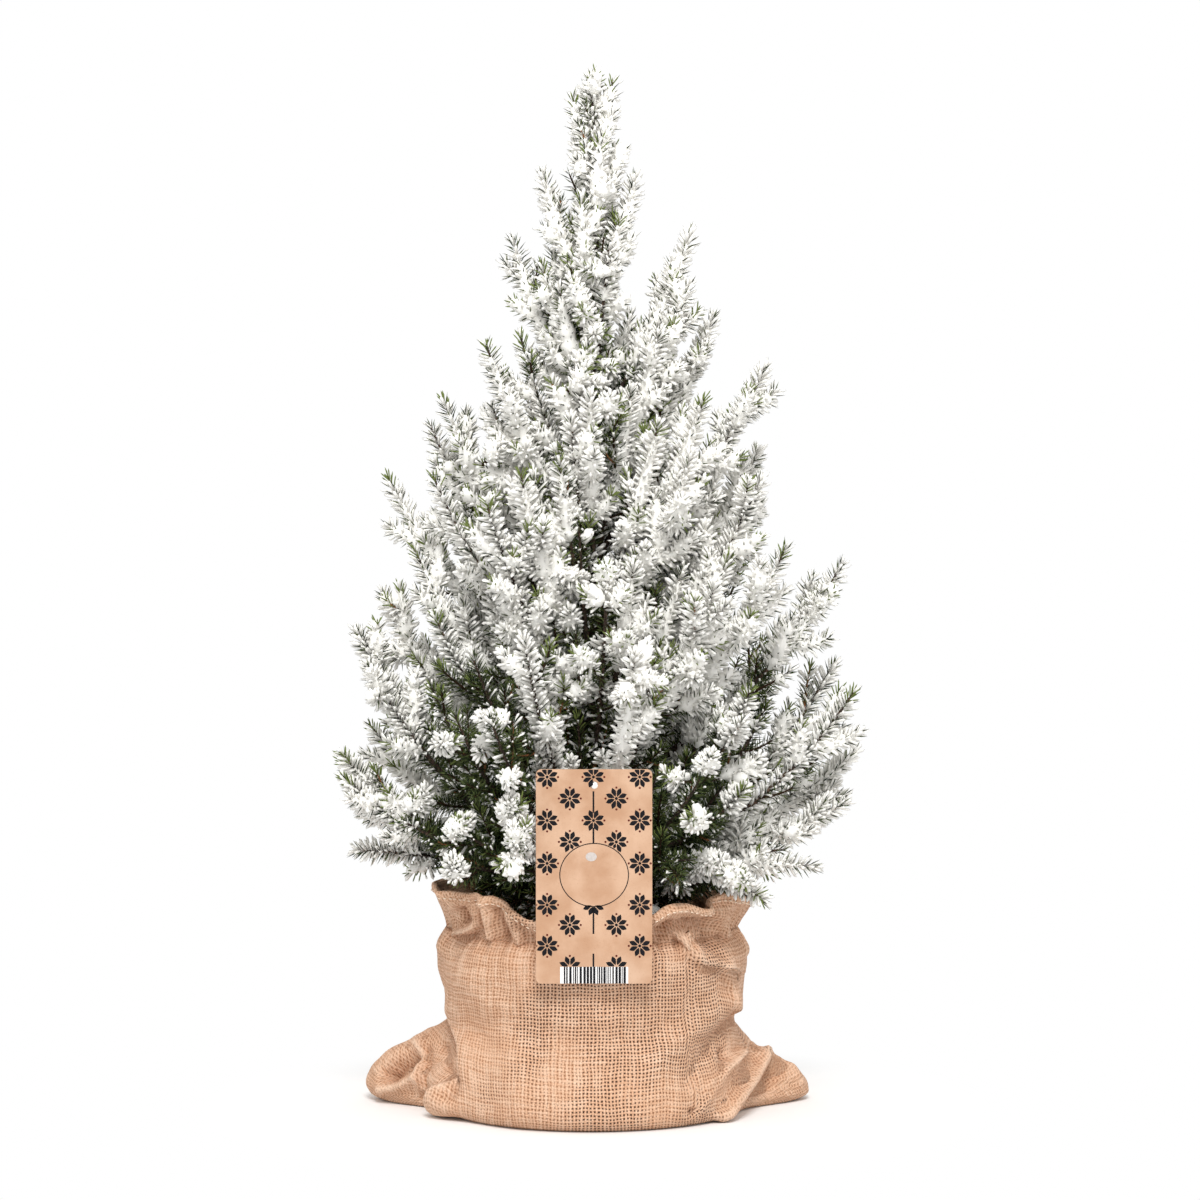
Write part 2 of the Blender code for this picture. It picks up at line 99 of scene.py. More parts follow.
# azimuth in degrees; reach, tip height, length of the leading shoot and longest side shoot
# in millimetres; share of the spray that it takes
SPIRES = (
    (174, 49, 536, 20, 22, 0.90), (205, 48, 475, 16, 20, 0.80), (205, 71, 470, 22, 26, 0.95),
    (168, 95, 438, 18, 30, 0.95), (156, 112, 423, 20, 30, 0.95), (173, 128, 389, 34, 30, 0.85),
    (197, 101, 389, 18, 30, 0.95), (167, 135, 317, 22, 32, 0.90), (184, 145, 294, 18, 32, 0.85),
    (196, 141, 274, 18, 32, 0.90), (168, 142, 233, 20, 30, 0.80), (191, 155, 219, 20, 30, 0.75),
    (198, 158, 206, 22, 30, 0.90), (212, 133, 182, 18, 28, 0.30), (188, 146, 160, 30, 24, 0.75),
    (0, 61, 541, 22, 24, 0.95), (352, 60, 508, 14, 22, 0.95), (8, 52, 516, 14, 22, 0.95),
    (15, 78, 490, 20, 26, 0.95), (355, 107, 457, 26, 30, 0.95), (23, 114, 407, 20, 30, 0.90),
    (344, 108, 388, 20, 32, 0.95), (333, 131, 346, 20, 34, 0.95), (25, 132, 298, 20, 32, 0.85),
    (2, 155, 335, 28, 32, 0.90), (11, 155, 273, 24, 32, 0.85), (353, 162, 257, 24, 32, 0.90),
    (7, 166, 218, 24, 30, 0.90), (357, 157, 188, 26, 28, 0.80), (346, 121, 161, 22, 22, 0.35),
    (340, 144, 152, 26, 22, 0.90), (322, 130, 136, 18, 24, 0.90), (269, 55, 438, 22, 28, 0.95),
    (242, 90, 390, 26, 30, 0.95), (320, 78, 402, 24, 30, 0.95), (312, 60, 421, 20, 26, 0.95),
    (251, 122, 293, 18, 34, 0.95), (230, 98, 374, 18, 32, 0.95), (282, 122, 284, 18, 34, 0.95),
    (309, 116, 324, 20, 34, 0.95), (244, 134, 246, 18, 30, 0.90), (231, 128, 247, 18, 30, 0.70),
    (276, 88, 326, 14, 26, 0.95), (248, 121, 193, 18, 28, 1.00), (300, 127, 210, 18, 32, 0.45),
    (246, 118, 156, 18, 26, 0.45), (300, 116, 162, 20, 28, 0.30), (320, 124, 262, 20, 34, 0.95),
    (321, 118, 202, 20, 30, 0.90), (229, 119, 178, 18, 28, 0.50), (225, 119, 154, 18, 26, 0.50),
    (256, 51, 424, 18, 26, 0.95), (170, 12, 624, 12, 10, 0.80), (10, 13, 634, 14, 10, 0.60),
    (30, 16, 594, 14, 12, 0.60), (180, 30, 577, 18, 14, 0.90), (358, 27, 575, 16, 14, 0.90),
    (285, 18, 596, 14, 12, 0.90), (250, 20, 560, 16, 16, 0.95), (310, 26, 548, 16, 18, 0.95),
    (198, 32, 520, 16, 20, 0.95), (335, 46, 478, 18, 24, 0.95), (8, 52, 452, 18, 26, 0.95),
    (328, 80, 436, 18, 28, 0.95), (190, 98, 304, 18, 30, 0.90), (214, 116, 262, 18, 30, 0.80),
    (314, 126, 154, 14, 22, 1.00), (348, 78, 388, 18, 30, 0.95), (8, 86, 362, 18, 30, 0.95),
    (335, 92, 340, 18, 30, 0.95), (190, 62, 432, 18, 26, 0.90), (170, 80, 370, 18, 30, 0.90),
    (185, 110, 345, 18, 30, 0.90),
)
# the rest by rule: first and last azimuth, boughs, reach and tip height in millimetres, snow
SPREAD_TIERS = (
    (36, 150, 6, 136, 168, 0.9), (44, 140, 5, 138, 225, 0.9), (34, 148, 6, 130, 285, 0.9),
    (48, 136, 5, 122, 350, 0.9), (44, 134, 4, 94, 410, 0.9), (50, 126, 3, 60, 470, 0.9),
    (60, 120, 2, 40, 530, 0.9), (40, 140, 2, 22, 585, 0.9), (0, 360, 8, 88, 200, 0.55),
    (0, 360, 8, 86, 265, 0.55), (0, 360, 7, 74, 330, 0.55), (0, 360, 6, 60, 395, 0.55),
    (0, 360, 5, 40, 455, 0.55), (0, 360, 4, 28, 510, 0.55), (0, 360, 13, 78, 150, 0.1),
    (0, 360, 22, 74, 131, 0.1), (0, 360, 6, 46, 215, 0.1), (0, 360, 6, 46, 260, 0.1),
    (0, 360, 6, 44, 305, 0.1), (0, 360, 5, 40, 350, 0.1),
)


class Shoot:
    """A woody axis with its line, its thickness and the snow that its spray takes."""

    def __init__(self, line, root_radius, tip_radius, needled, snow, order, fullness=1.0):
        self.line = line
        self.root_radius = root_radius
        self.tip_radius = tip_radius
        self.needled = needled  # length behind the tip that carries needles
        self.snow = snow
        self.order = order
        self.fullness = fullness  # share of the full count of needles
        self.new_wood = False
        steps = np.linalg.norm(np.diff(line, axis=0), axis=1)
        self.along = np.concatenate(([0.0], np.cumsum(steps)))
        self.length = self.along[-1]

    def at(self, distance):
        """Points and directions at distances from the root."""
        distance = np.atleast_1d(distance)
        place = np.stack([np.interp(distance, self.along, self.line[:, i]) for i in range(3)], 1)
        step = np.clip(np.searchsorted(self.along, distance) - 1, 0, len(self.line) - 2)
        ahead = self.line[step + 1] - self.line[step]
        return place, ahead / np.linalg.norm(ahead, axis=1, keepdims=True)


def unit(vector):
    return vector / np.linalg.norm(vector, axis=-1, keepdims=True)


def bent_line(start, elbow, tip, points):
    share = np.linspace(0, 1, points)[:, None]
    return (1 - share) ** 2 * start + 2 * share * (1 - share) * elbow + share**2 * tip


def trunk_middle(height):
    share = np.clip((height - SOIL_HEIGHT) / (TRUNK_TOP - SOIL_HEIGHT), 0, 1)
    bow = TRUNK_SWAY * math.sin(math.pi * share) * share
    return np.array((bow, 0.4 * bow, height))


def trunk_thickness(height):
    share = np.clip((height - SOIL_HEIGHT) / (TRUNK_TOP - SOIL_HEIGHT), 0, 1)
    flare = TRUNK_FLARE * math.exp(-max(0.0, height - SOIL_HEIGHT) / TRUNK_FLARE_HEIGHT)
    return TRUNK_TIP_RADIUS + (TRUNK_RADIUS - TRUNK_TIP_RADIUS) * (1 - share) ** 0.9 + flare


def polar(azimuth, radius, height):
    angle = math.radians(azimuth)
    return np.array((radius * math.cos(angle), radius * math.sin(angle), height))


growth = np.random.default_rng(GROWTH_SEED)
shoots = []
CROWN_FOOT = 0.136  # the collar's rim, which foliage outside it stays above
COLLAR_INSIDE = 0.080
COLLAR_OUTSIDE = 0.115

# dark gaps between the spires: middle and half size
HOLLOWS = (
    ((-0.002, -0.085, 0.346), (0.012, 0.070, 0.018)),
    ((0.001, -0.085, 0.302), (0.014, 0.070, 0.012)),
    ((0.009, -0.088, 0.272), (0.007, 0.060, 0.010)),
    ((0.000, -0.090, 0.238), (0.016, 0.060, 0.018)),
    ((0.108, -0.050, 0.256), (0.014, 0.060, 0.020)),
    ((0.088, -0.090, 0.170), (0.012, 0.050, 0.012)),
)


def within(spots, middle, half):
    """True for spots inside a rounded box."""
    return np.sum(((spots - np.array(middle)) / np.array(half)) ** 4, axis=-1) < 1


def in_hollow(place):
    return any(within(place, *part) for part in HOLLOWS)


LABEL_LOW, LABEL_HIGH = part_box("label")


def near_label(place, gap=0.004):
    """True where a shoot would stand in the label or in front of it."""
    across = LABEL_LOW.x - gap < place[0] < LABEL_HIGH.x + gap
    along = LABEL_LOW.z - gap < place[2] < LABEL_HIGH.z + 0.5 * gap
    return across and along and place[1] < LABEL_HIGH.y + 2 * gap


def side_shoots(parent, lead, spacing, longest, lengthen, order, farthest=1.0):
    """Grows shoots round a parent, longer the further they are from its tip."""
    distance = lead + growth.uniform(0, spacing)
    turn = growth.uniform(0, math.tau)
    while distance < parent.length * SIDE_SHARE:
        reach = min(longest, 0.013 + lengthen * (distance - 0.5 * lead))
        reach *= growth.uniform(0.75, 1.12)
        place, ahead = parent.at(parent.length - distance)
        place = place[0]
        ahead = ahead[0]
        across = unit(np.cross(ahead, UP + 0.01))
        over = np.cross(across, ahead)
        turn += GOLDEN_ANGLE + growth.uniform(-0.35, 0.35)
        splay = math.radians(growth.uniform(*SPLAY))
        out = math.cos(turn) * across + math.sin(turn) * over
        away = unit(np.array((place[0], place[1], 0.0)) + 1e-6)
        aim = unit(math.cos(splay) * ahead + math.sin(splay) * out + 0.18 * away)
        rise = unit(aim + 0.45 * ahead + 0.25 * UP)
        inward = float(np.dot(out, away)) < -0.35
        deep = distance > OLD_WOOD_FROM
        old = deep and (inward or growth.random() < 0.25)
        tip = place + 0.45 * reach * aim + 0.55 * reach * rise
        inside_collar = math.hypot(tip[0], tip[1]) < COLLAR_INSIDE
        lowest = CROWN_FOOT + max(0.0, math.hypot(tip[0], tip[1]) - COLLAR_OUTSIDE)
        too_low = tip[2] < (SOIL_HEIGHT + 0.008 if inside_collar else lowest)
        too_far = math.hypot(tip[0], tip[1]) > farthest
        blocked = too_low or too_far or in_hollow(tip) or near_label(tip)
        if reach >= SHORTEST_SHOOT and not blocked:
            line = bent_line(place, place + 0.5 * reach * aim, tip, SHOOT_POINTS)
            thick = 0.0006 + 0.012 * reach
            snow = parent.snow
            if order == 2:
                snow = 0.95 if growth.random() < parent.snow else 0.10
                snow = 1.0 if parent.snow == 1.0 else snow
            snow = 0.0 if old else snow
            fullness = OLD_FULLNESS if old else parent.fullness
            child = Shoot(line, thick, SHOOT_TIP, reach, snow, order, fullness)
            young = distance < NEW_WOOD_UPTO
            child.new_wood = not old and young and growth.random() < NEW_WOOD_SHARE
            shoots.append(child)
            if order < 3 and reach > FORK_LENGTH and not old:
                side_shoots(child, 0.013, 0.0180, 0.018, 0.42, order + 1, farthest)
        distance += spacing * growth.uniform(0.7, 1.3)


def grow_spire(azimuth, reach, tip_height, lead, longest, snow):
    root_height = tip_height - min(0.10 + 0.27 * reach, 0.02 + 2.2 * reach)
    low_spread = 0.03 if tip_height > CROWN_FOOT + 0.02 else 0.006
    root_height = max(root_height, SOIL_HEIGHT + 0.012 + low_spread * growth.random())
    lift = tip_height - root_height
    steepness = lift / reach
    root = trunk_middle(root_height)
    elbow_out = (0.70 - 0.05 * steepness) * reach
    elbow_up = max((0.28 + 0.035 * steepness) * lift, 0.158 - root_height)
    if reach < COLLAR_INSIDE and tip_height < CROWN_FOOT + 0.02:
        elbow_up = lift + 0.012
    elbow = polar(azimuth, elbow_out, root_height + elbow_up)
    tip = polar(azimuth, reach, tip_height)
    line = bent_line(root, elbow, tip, 24)
    needled = 0.86 * float(np.linalg.norm(tip - root))
    bough = Shoot(line, 0.40 * trunk_thickness(root_height), 0.0006, needled, snow, 1)
    bough.fullness = 0.6 if reach < 0.020 else 1.0
    shoots.append(bough)
    side_shoots(bough, lead, SIDE_SPACING, 1.06 * longest, 0.85, 2, reach + 0.008)


def grow_spires(table):
    for azimuth, *sizes, snow in table:
        grow_spire(azimuth, *[size / 1000 for size in sizes], snow)


grow_spires(SPIRES)
for first, last, count, reach, height, snow in SPREAD_TIERS:
    reach = reach / 1000
    height = height / 1000
    for number in range(count):
        azimuth = first + (last - first) * (number + growth.uniform(0.1, 0.9)) / count
        stretch = growth.uniform(0.88, 1.08)
        lead = growth.uniform(0.018, 0.030)
        longest = growth.uniform(0.028, 0.036)
        rise = growth.uniform(-0.022, 0.022) * min(1, height / 0.2 - 0.4)
        grow_spire(azimuth, reach * stretch, height + rise, lead, longest, snow)

# the leader: its own needled shoot with short side shoots all the way up
leader_heights = np.linspace(0.30, TREE_TOP - 0.006, 40)
leader_line = np.array([trunk_middle(height) for height in leader_heights])
leader_line[:, 2] = leader_heights
leader = Shoot(leader_line, 0.0045, 0.0007, 0.26, 0.95, 1)
side_shoots(leader, 0.012, 0.0054, 0.036, 0.22, 2, 0.022)
shoots.append(leader)

# short shoots that turn outwards and caught all the spray: sideways and height in
# millimetres, shoots
LONE_SHOOTS = (
    (11, 332, 3), (19, 316, 2), (-4, 317, 2), (-5, 280, 3), (-12, 262, 2), (16, 288, 2),
    (20, 255, 2), (-10, 324, 2), (38, 265, 2), (-56, 404, 2), (-43, 403, 2), (-62, 374, 2),
    (-60, 245, 3), (-104, 193, 3), (-77, 179, 4), (-84, 155, 3), (-64, 222, 1), (-82, 228, 2),
    (-45, 192, 3), (-41, 178, 3), (-47, 155, 2), (-50, 206, 2), (48, 212, 1), (60, 184, 2),
    (66, 222, 2), (72, 156, 3), (82, 151, 3), (93, 147, 3), (-4, 484, 3), (6, 474, 3),
    (0, 460, 3), (10, 452, 3), (2, 440, 3), (12, 432, 3), (-6, 448, 2), (-8, 502, 3), (-2, 512, 2),
)
limb_points = np.concatenate([shoot.line for shoot in shoots if shoot.order > 1])
for sideways, height, count in LONE_SHOOTS:
    sideways = sideways / 1000
    height = height / 1000
    apart = np.hypot(limb_points[:, 0] - sideways, limb_points[:, 2] - height)
    near = limb_points[apart < max(0.014, np.sort(apart)[4])]
    root = near[np.argmin(near[:, 1])]
    for number in range(count):
        spread = np.array((growth.uniform(-0.7, 0.7), -1.0, growth.uniform(0.1, 0.9)))
        tip = np.array((sideways, max(root[1], -0.108) - 0.004, height))
        tip = tip + growth.uniform(0.005, 0.013) * unit(spread)
        elbow = root + 0.5 * (tip - root) + np.array((0, 0, -0.003))
        line = bent_line(root, elbow, tip, SHOOT_POINTS)
        shoots.append(Shoot(line, 0.0009, SHOOT_TIP, 0.013, 1.0, 3, 1.2))

# bare boughs in the shade behind the gaps on the right, by the same columns as the spires
BARE_SPIRES = (
    (6, 116, 280, 14, 26, 0.0), (14, 112, 262, 14, 24, 0.0), (4, 108, 246, 14, 24, 0.0),
    (8, 92, 328, 14, 24, 0.0),
)
grow_spires(BARE_SPIRES)

# the bare twig that the card hangs on: it ends in the punched hole, under its top edge
HANGER_TIP = np.array((0.0015, -0.1016, 0.2083))
apart = np.linalg.norm(limb_points - HANGER_TIP, axis=1)
hanger_root = limb_points[np.argmin(apart)]
hanger_elbow = 0.5 * (hanger_root + HANGER_TIP) + np.array((0, 0, -0.003))
hanger_line = bent_line(hanger_root, hanger_elbow, HANGER_TIP, SHOOT_POINTS)
shoots.append(Shoot(hanger_line, 0.0011, 0.0007, 0.0, 0.0, 3))


# ================================================================ trunk
# The spruce's single stem, brown wood under rough scaly bark. It bows a little, tapers all
# the way up and flares at the foot where the roots start.
TRUNK_RINGS = 120
TRUNK_SIDES = 22
TRUNK_RELIEF = 0.34


def add(tree, kind, settings=None, *values, **named):
    """Adds a node, makes its settings, then sets or links its sockets."""
    made = tree.nodes.new(kind)
    for key, value in (settings or {}).items():
        setattr(made, key, value)
    pairs = [(made.inputs[i], value) for i, value in enumerate(values)]
    pairs += [(made.inputs[key.replace("_", " ")], value) for key, value in named.items()]
    for socket, value in pairs:
        value = value.socket if isinstance(value, Value) else value
        if isinstance(value, bpy.types.NodeSocket):
            tree.links.new(value, socket)
        elif value is not None:
            socket.default_value = value
    return made


class Value:
    """A shader socket that sums and products can be written with."""

    def __init__(self, finish, socket):
        self.finish = finish
        self.socket = socket

    def maths(self, operation, *values):
        return self.finish.node("ShaderNodeMath", {"operation": operation}, *values)

    def __add__(self, other):
        return self.maths("ADD", self, other)

    def __radd__(self, other):
        return self.maths("ADD", other, self)

    def __sub__(self, other):
        return self.maths("SUBTRACT", self, other)

    def __rsub__(self, other):
        return self.maths("SUBTRACT", other, self)

    def __mul__(self, other):
        return self.maths("MULTIPLY", self, other)

    def __rmul__(self, other):
        return self.maths("MULTIPLY", other, self)

    def __truediv__(self, other):
        return self.maths("DIVIDE", self, other)

    def __abs__(self):
        return self.maths("ABSOLUTE", self)


class Finish:
    """A procedural material being put together round one Principled shader."""

    def __init__(self, name, **constants):
        self.material = bpy.data.materials.new(name)
        self.material.use_nodes = True
        self.tree = self.material.node_tree
        self.shader = self.tree.nodes["Principled BSDF"]
        for key, value in constants.items():
            self.shader.inputs[key.replace("_", " ")].default_value = value

    def node(self, kind, settings=None, *values, out=0, **named):
        """Adds a node and gives one of its outputs."""
        return Value(self, add(self.tree, kind, settings, *values, **named).outputs[out])

    def sine(self, angle):
        return self.node("ShaderNodeMath", {"operation": "SINE"}, angle)

    def greater(self, first, second):
        return self.node("ShaderNodeMath", {"operation": "MAXIMUM"}, first, second)

    def ease(self, value, low, high):
        """0 below low, 1 above high, smooth between."""
        sockets = {"From_Min": low, "From_Max": high}
        return self.node("ShaderNodeMapRange", {"interpolation_type": "SMOOTHSTEP"}, value, **sockets)

    def blend(self, share, first, second):
        """Mixes two colours, each a Value or three numbers."""
        pair = [(*colour, 1) if isinstance(colour, tuple) else colour for colour in (first, second)]
        other_kinds = (None,) * 5
        return self.node("ShaderNodeMix", {"data_type": "RGBA"}, share, *other_kinds, *pair, out=2)

    def noise(self, place, scale, detail=2.0, roughness=0.5):
        sockets = {"Scale": scale, "Detail": detail, "Roughness": roughness}
        return self.node("ShaderNodeTexNoise", {"noise_dimensions": "3D"}, place, **sockets)

    def object_place(self):
        return self.node("ShaderNodeTexCoord", out=3)

    def parts(self, vector):
        """The three components of a vector."""
        made = self.node("ShaderNodeSeparateXYZ", None, vector).socket.node
        return [Value(self, output) for output in made.outputs]

    def join(self, x, y, z=0.0):
        return self.node("ShaderNodeCombineXYZ", None, x, y, z)

    def set(self, socket, value):
        self.tree.links.new(value.socket, self.shader.inputs[socket])

    def bump(self, height, strength, distance):
        sockets = {"Height": height, "Strength": strength, "Distance": distance}
        self.set("Normal", self.node("ShaderNodeBump", None, **sockets))


def new_tree(name, **inputs):
    """A geometry node group with a mesh in, a mesh out and named inputs; and those inputs."""
    tree = bpy.data.node_groups.new(name, "GeometryNodeTree")
    tree.interface.new_socket("Geometry", in_out="INPUT", socket_type="NodeSocketGeometry")
    for label, kind in inputs.items():
        tree.interface.new_socket(label, in_out="INPUT", socket_type="NodeSocket" + kind)
    tree.interface.new_socket("Geometry", in_out="OUTPUT", socket_type="NodeSocketGeometry")
    return tree, add(tree, "NodeGroupInput").outputs


def end_tree(tree, made, finish):
    """Ends a group: realizes what was made and gives it its material."""
    real = add(tree, "GeometryNodeRealizeInstances", Geometry=made.outputs[0])
    done = add(tree, "GeometryNodeSetMaterial", Geometry=real.outputs[0], Material=finish)
    add(tree, "NodeGroupOutput", None, done.outputs[0])


def named_values(tree, name, kind):
    """The values that a mesh carries under a name."""
    return add(tree, "GeometryNodeInputNamedAttribute", {"data_type": kind}, Name=name).outputs[0]


def run_tree(name, mesh, tree, values):
    """Runs a geometry node group on a mesh and gives the result as a plain object."""
    thing = put(name, mesh)
    step = thing.modifiers.new("make", "NODES")
    step.node_group = tree
    for item in tree.interface.items_tree:
        if item.in_out == "INPUT" and item.name in values:
            step[item.identifier] = values[item.name]
    bpy.context.view_layer.update()
    graph = bpy.context.evaluated_depsgraph_get()
    result = bpy.data.meshes.new_from_object(thing.evaluated_get(graph))
    thing.modifiers.clear()
    thing.data = result
    return thing


def line_mesh(name, lines, thicknesses):
    """Edges along each line, with the thickness that the geometry nodes give them."""
    edges = []
    start = 0
    for line in lines:
        edges += [(start + i, start + i + 1) for i in range(len(line) - 1)]
        start += len(line)
    mesh = bpy.data.meshes.new(name)
    mesh.from_pydata(np.concatenate(lines).tolist(), edges, [])
    thick = mesh.attributes.new("thickness", "FLOAT", "POINT")
    thick.data.foreach_set("value", np.concatenate(thicknesses))
    return mesh


wood_tree, entry = new_tree("thicken_wood", Sides="Int", Relief="Float", Grain="Float", Bark="Material")
thickness = named_values(wood_tree, "thickness", "FLOAT")
curve = add(wood_tree, "GeometryNodeMeshToCurve", Mesh=entry["Geometry"]).outputs[0]
ring = add(wood_tree, "GeometryNodeCurvePrimitiveCircle", Resolution=entry["Sides"], Radius=1.0).outputs[0]
sockets = {"Curve": curve, "Profile_Curve": ring, "Scale": thickness, "Fill_Caps": True}
tube = add(wood_tree, "GeometryNodeCurveToMesh", **sockets)
lump = add(wood_tree, "ShaderNodeTexNoise", Scale=entry["Grain"], Detail=2.0)
for operation, value in (("SUBTRACT", 0.5), ("MULTIPLY", thickness), ("MULTIPLY", entry["Relief"])):
    lump = add(wood_tree, "ShaderNodeMath", {"operation": operation}, lump.outputs[0], value)
normal = add(wood_tree, "GeometryNodeInputNormal").outputs[0]
push = add(wood_tree, "ShaderNodeVectorMath", {"operation": "SCALE"}, normal, Scale=lump.outputs[0])
rough = add(wood_tree, "GeometryNodeSetPosition", Geometry=tube.outputs[0], Offset=push.outputs[0])
smooth = add(wood_tree, "GeometryNodeSetShadeSmooth", Geometry=rough.outputs[0])
end_tree(wood_tree, smooth, entry["Bark"])

bark = Finish("spruce_bark", Roughness=0.85)
place = bark.object_place()
scale_edge = bark.node("ShaderNodeTexVoronoi", {"feature": "DISTANCE_TO_EDGE"}, place, Scale=420.0)
scales = bark.ease(scale_edge, 0.02, 0.22)
patch = bark.noise(place, 160.0, 4.0)
brown = bark.blend(bark.ease(patch, 0.35, 0.70), (0.045, 0.024, 0.014), (0.12, 0.072, 0.044))
bark.set("Base Color", bark.blend(scales, (0.022, 0.012, 0.008), brown))
bark.bump(scales * 0.6 + patch * 0.6, 0.8, 0.0006)

trunk_heights = np.linspace(SOIL_HEIGHT - 0.006, TRUNK_TOP, TRUNK_RINGS)
trunk_line = np.array([trunk_middle(height) for height in trunk_heights])
trunk_width = np.array([trunk_thickness(height) for height in trunk_heights])
trunk = run_tree(
    "trunk_wood", line_mesh("trunk_wood", [trunk_line], [trunk_width]), wood_tree,
    {"Sides": TRUNK_SIDES, "Relief": TRUNK_RELIEF, "Grain": 190.0, "Bark": bark.material},
)
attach(trunk, "root")
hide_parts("trunk")

# ================================================================ boughs
# The spires' own wood: brown boughs that leave the stem at a slant and turn upwards, with
# the same bark as the stem, finer.
BOUGH_SIDES = 8
BOUGH_RELIEF = 0.5


def wood_lines(chosen):
    """The lines of the chosen shoots, and the thickness at each of their points."""
    lines = []
    thicknesses = []
    for shoot in chosen:
        share = shoot.along / shoot.length
        lines.append(shoot.line)
        thicknesses.append(shoot.root_radius + (shoot.tip_radius - shoot.root_radius) * share)
    return lines, thicknesses


bough_nodes = [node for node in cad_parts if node.startswith("bough_")]
bough_lines = wood_lines([shoot for shoot in shoots if shoot.order == 1])
boughs = run_tree(
    "boughs", line_mesh("boughs", *bough_lines), wood_tree,
    {"Sides": BOUGH_SIDES, "Relief": BOUGH_RELIEF, "Grain": 420.0, "Bark": bark.material},
)
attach(boughs, "root")
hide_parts(*bough_nodes)

# ================================================================ twigs
# The side shoots' thin stems, dark brown where they are old and orange-brown where they
# grew last summer. They grow straight out of the boughs.
TWIG_SIDES = 4


def plain_material(name, colour, roughness, shine=0.5):
    constants = {"Base_Color": (*colour, 1), "Roughness": roughness, "Specular_IOR_Level": shine}
    return Finish(name, **constants).material


twig_brown = plain_material("twig_brown", (0.040, 0.022, 0.012), 0.8, 0.1)
twig_orange = plain_material("twig_orange", (0.25, 0.105, 0.040), 0.7, 0.3)
twig_kinds = (("twigs_old", twig_brown, False), ("twigs_new", twig_orange, True))
for name, colour, new_wood in twig_kinds:
    chosen = [shoot for shoot in shoots if shoot.order > 1 and shoot.new_wood == new_wood]
    twigs = run_tree(
        name, line_mesh(name, *wood_lines(chosen)), wood_tree,
        {"Sides": TWIG_SIDES, "Relief": 0.0, "Grain": 1.0, "Bark": colour},
    )
    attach(twigs, "root")
    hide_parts(*bough_nodes)

# ================================================================ needles
# Spruce needles stand all round each shoot, swept towards its tip. Spray from outside and
# above coats those that it reaches; the sheltered ones stay green.
NEEDLE_LENGTH = 0.0096
NEEDLE_RADIUS = 0.00042
NEEDLES_PER_METRE = 1650
SHADED_FULLNESS = 1.6
SWEEP = 64  # degrees between a needle and its shoot, and how much less that is at the tip
TIP_SWEEP = 36
TIP_TUFT = 0.010
FRESH_TUFT = 0.008
COAT_RADIUS = 0.00134
FEWEST_NEEDLES = 6  # on a shoot
SPECK_LENGTH = 0.0030
SPECK_RADIUS = 0.0009
MOST_TRIANGLES = 190000  # in one piece
STRAY_SNOW = 0.04  # share of the needles coated where the spray hardly reached, and in the dark gaps, where it keeps them dark as painted shade
# where the foliage above kept the spray off: middle and half size
SHELTERED = (
    ((-0.070, -0.080, 0.200), (0.036, 0.075, 0.080)),
    ((0.055, -0.090, 0.188), (0.025, 0.070, 0.062)),
)
# parts given more or less snow than the spray rule gives, partly the snow's own spread and partly painted
# light and shade that makes them lighter or darker: middle, half size, share coated, reach
SNOW_AND_PAINTED_LIGHT_ZONES = (
    ((-0.062, -0.020, 0.455), (0.050, 0.150, 0.100), 0.54, 1.0),
    ((-0.125, -0.020, 0.330), (0.045, 0.150, 0.050), 0.76, 1.0),
    ((0.008, -0.080, 0.376), (0.018, 0.070, 0.016), 0.45, 1.0),
    ((0.130, -0.020, 0.300), (0.040, 0.150, 0.070), 0.66, 1.0),
    ((0.000, 0.000, 0.622), (0.020, 0.100, 0.030), 0.92, 1.0),
    ((0.010, -0.080, 0.340), (0.078, 0.085, 0.110), 1.3, 1.6),
    ((0.060, -0.070, 0.360), (0.050, 0.085, 0.070), 1.2, 1.4),
)

# the crown's density on a coarse grid, from which the shelter at each place is worked out
GRID = 0.008
crown_low = np.array((-0.20, -0.17, 0.08))
grid_shape = (50, 44, 72)
density = np.zeros(grid_shape)
for shoot in shoots:
    tail = min(shoot.length, shoot.needled)
    place, _ = shoot.at(np.linspace(shoot.length - tail, shoot.length, max(2, int(tail / 0.004))))
    cells = np.clip(((place - crown_low) / GRID).astype(int), 0, np.array(grid_shape) - 1)
    np.add.at(density, tuple(cells.T), 1.0)


def shelter(places, direction, steps=14):
    """How much foliage lies from each place towards a direction."""
    total = np.zeros(len(places))
    for step in range(2, steps):
        probe = places + direction * (step * GRID)
        cells = ((probe - crown_low) / GRID).astype(int)
        inside = np.all((cells >= 0) & (cells < np.array(grid_shape)), axis=1)
        total[inside] += density[tuple(cells[inside].T)]
    return total


def exposure(places):
    """Share of the sprayed snow that reaches each place."""
    away = places * np.array((1, 1, 0)) + 1e-6
    away = unit(away)
    across = np.cross(away, UP)
    reached = np.zeros(len(places))
    rays = ((1.0, 0.0, 0.55), (0.8, 0.6, 0.7), (0.8, -0.6, 0.7), (0.35, 0.0, 1.0))
    for outward, sideways, upward in rays:
        direction = unit(outward * away + sideways * across + upward * UP)
        reached += np.exp(-0.14 * shelter(places, direction))
    return reached / len(rays)


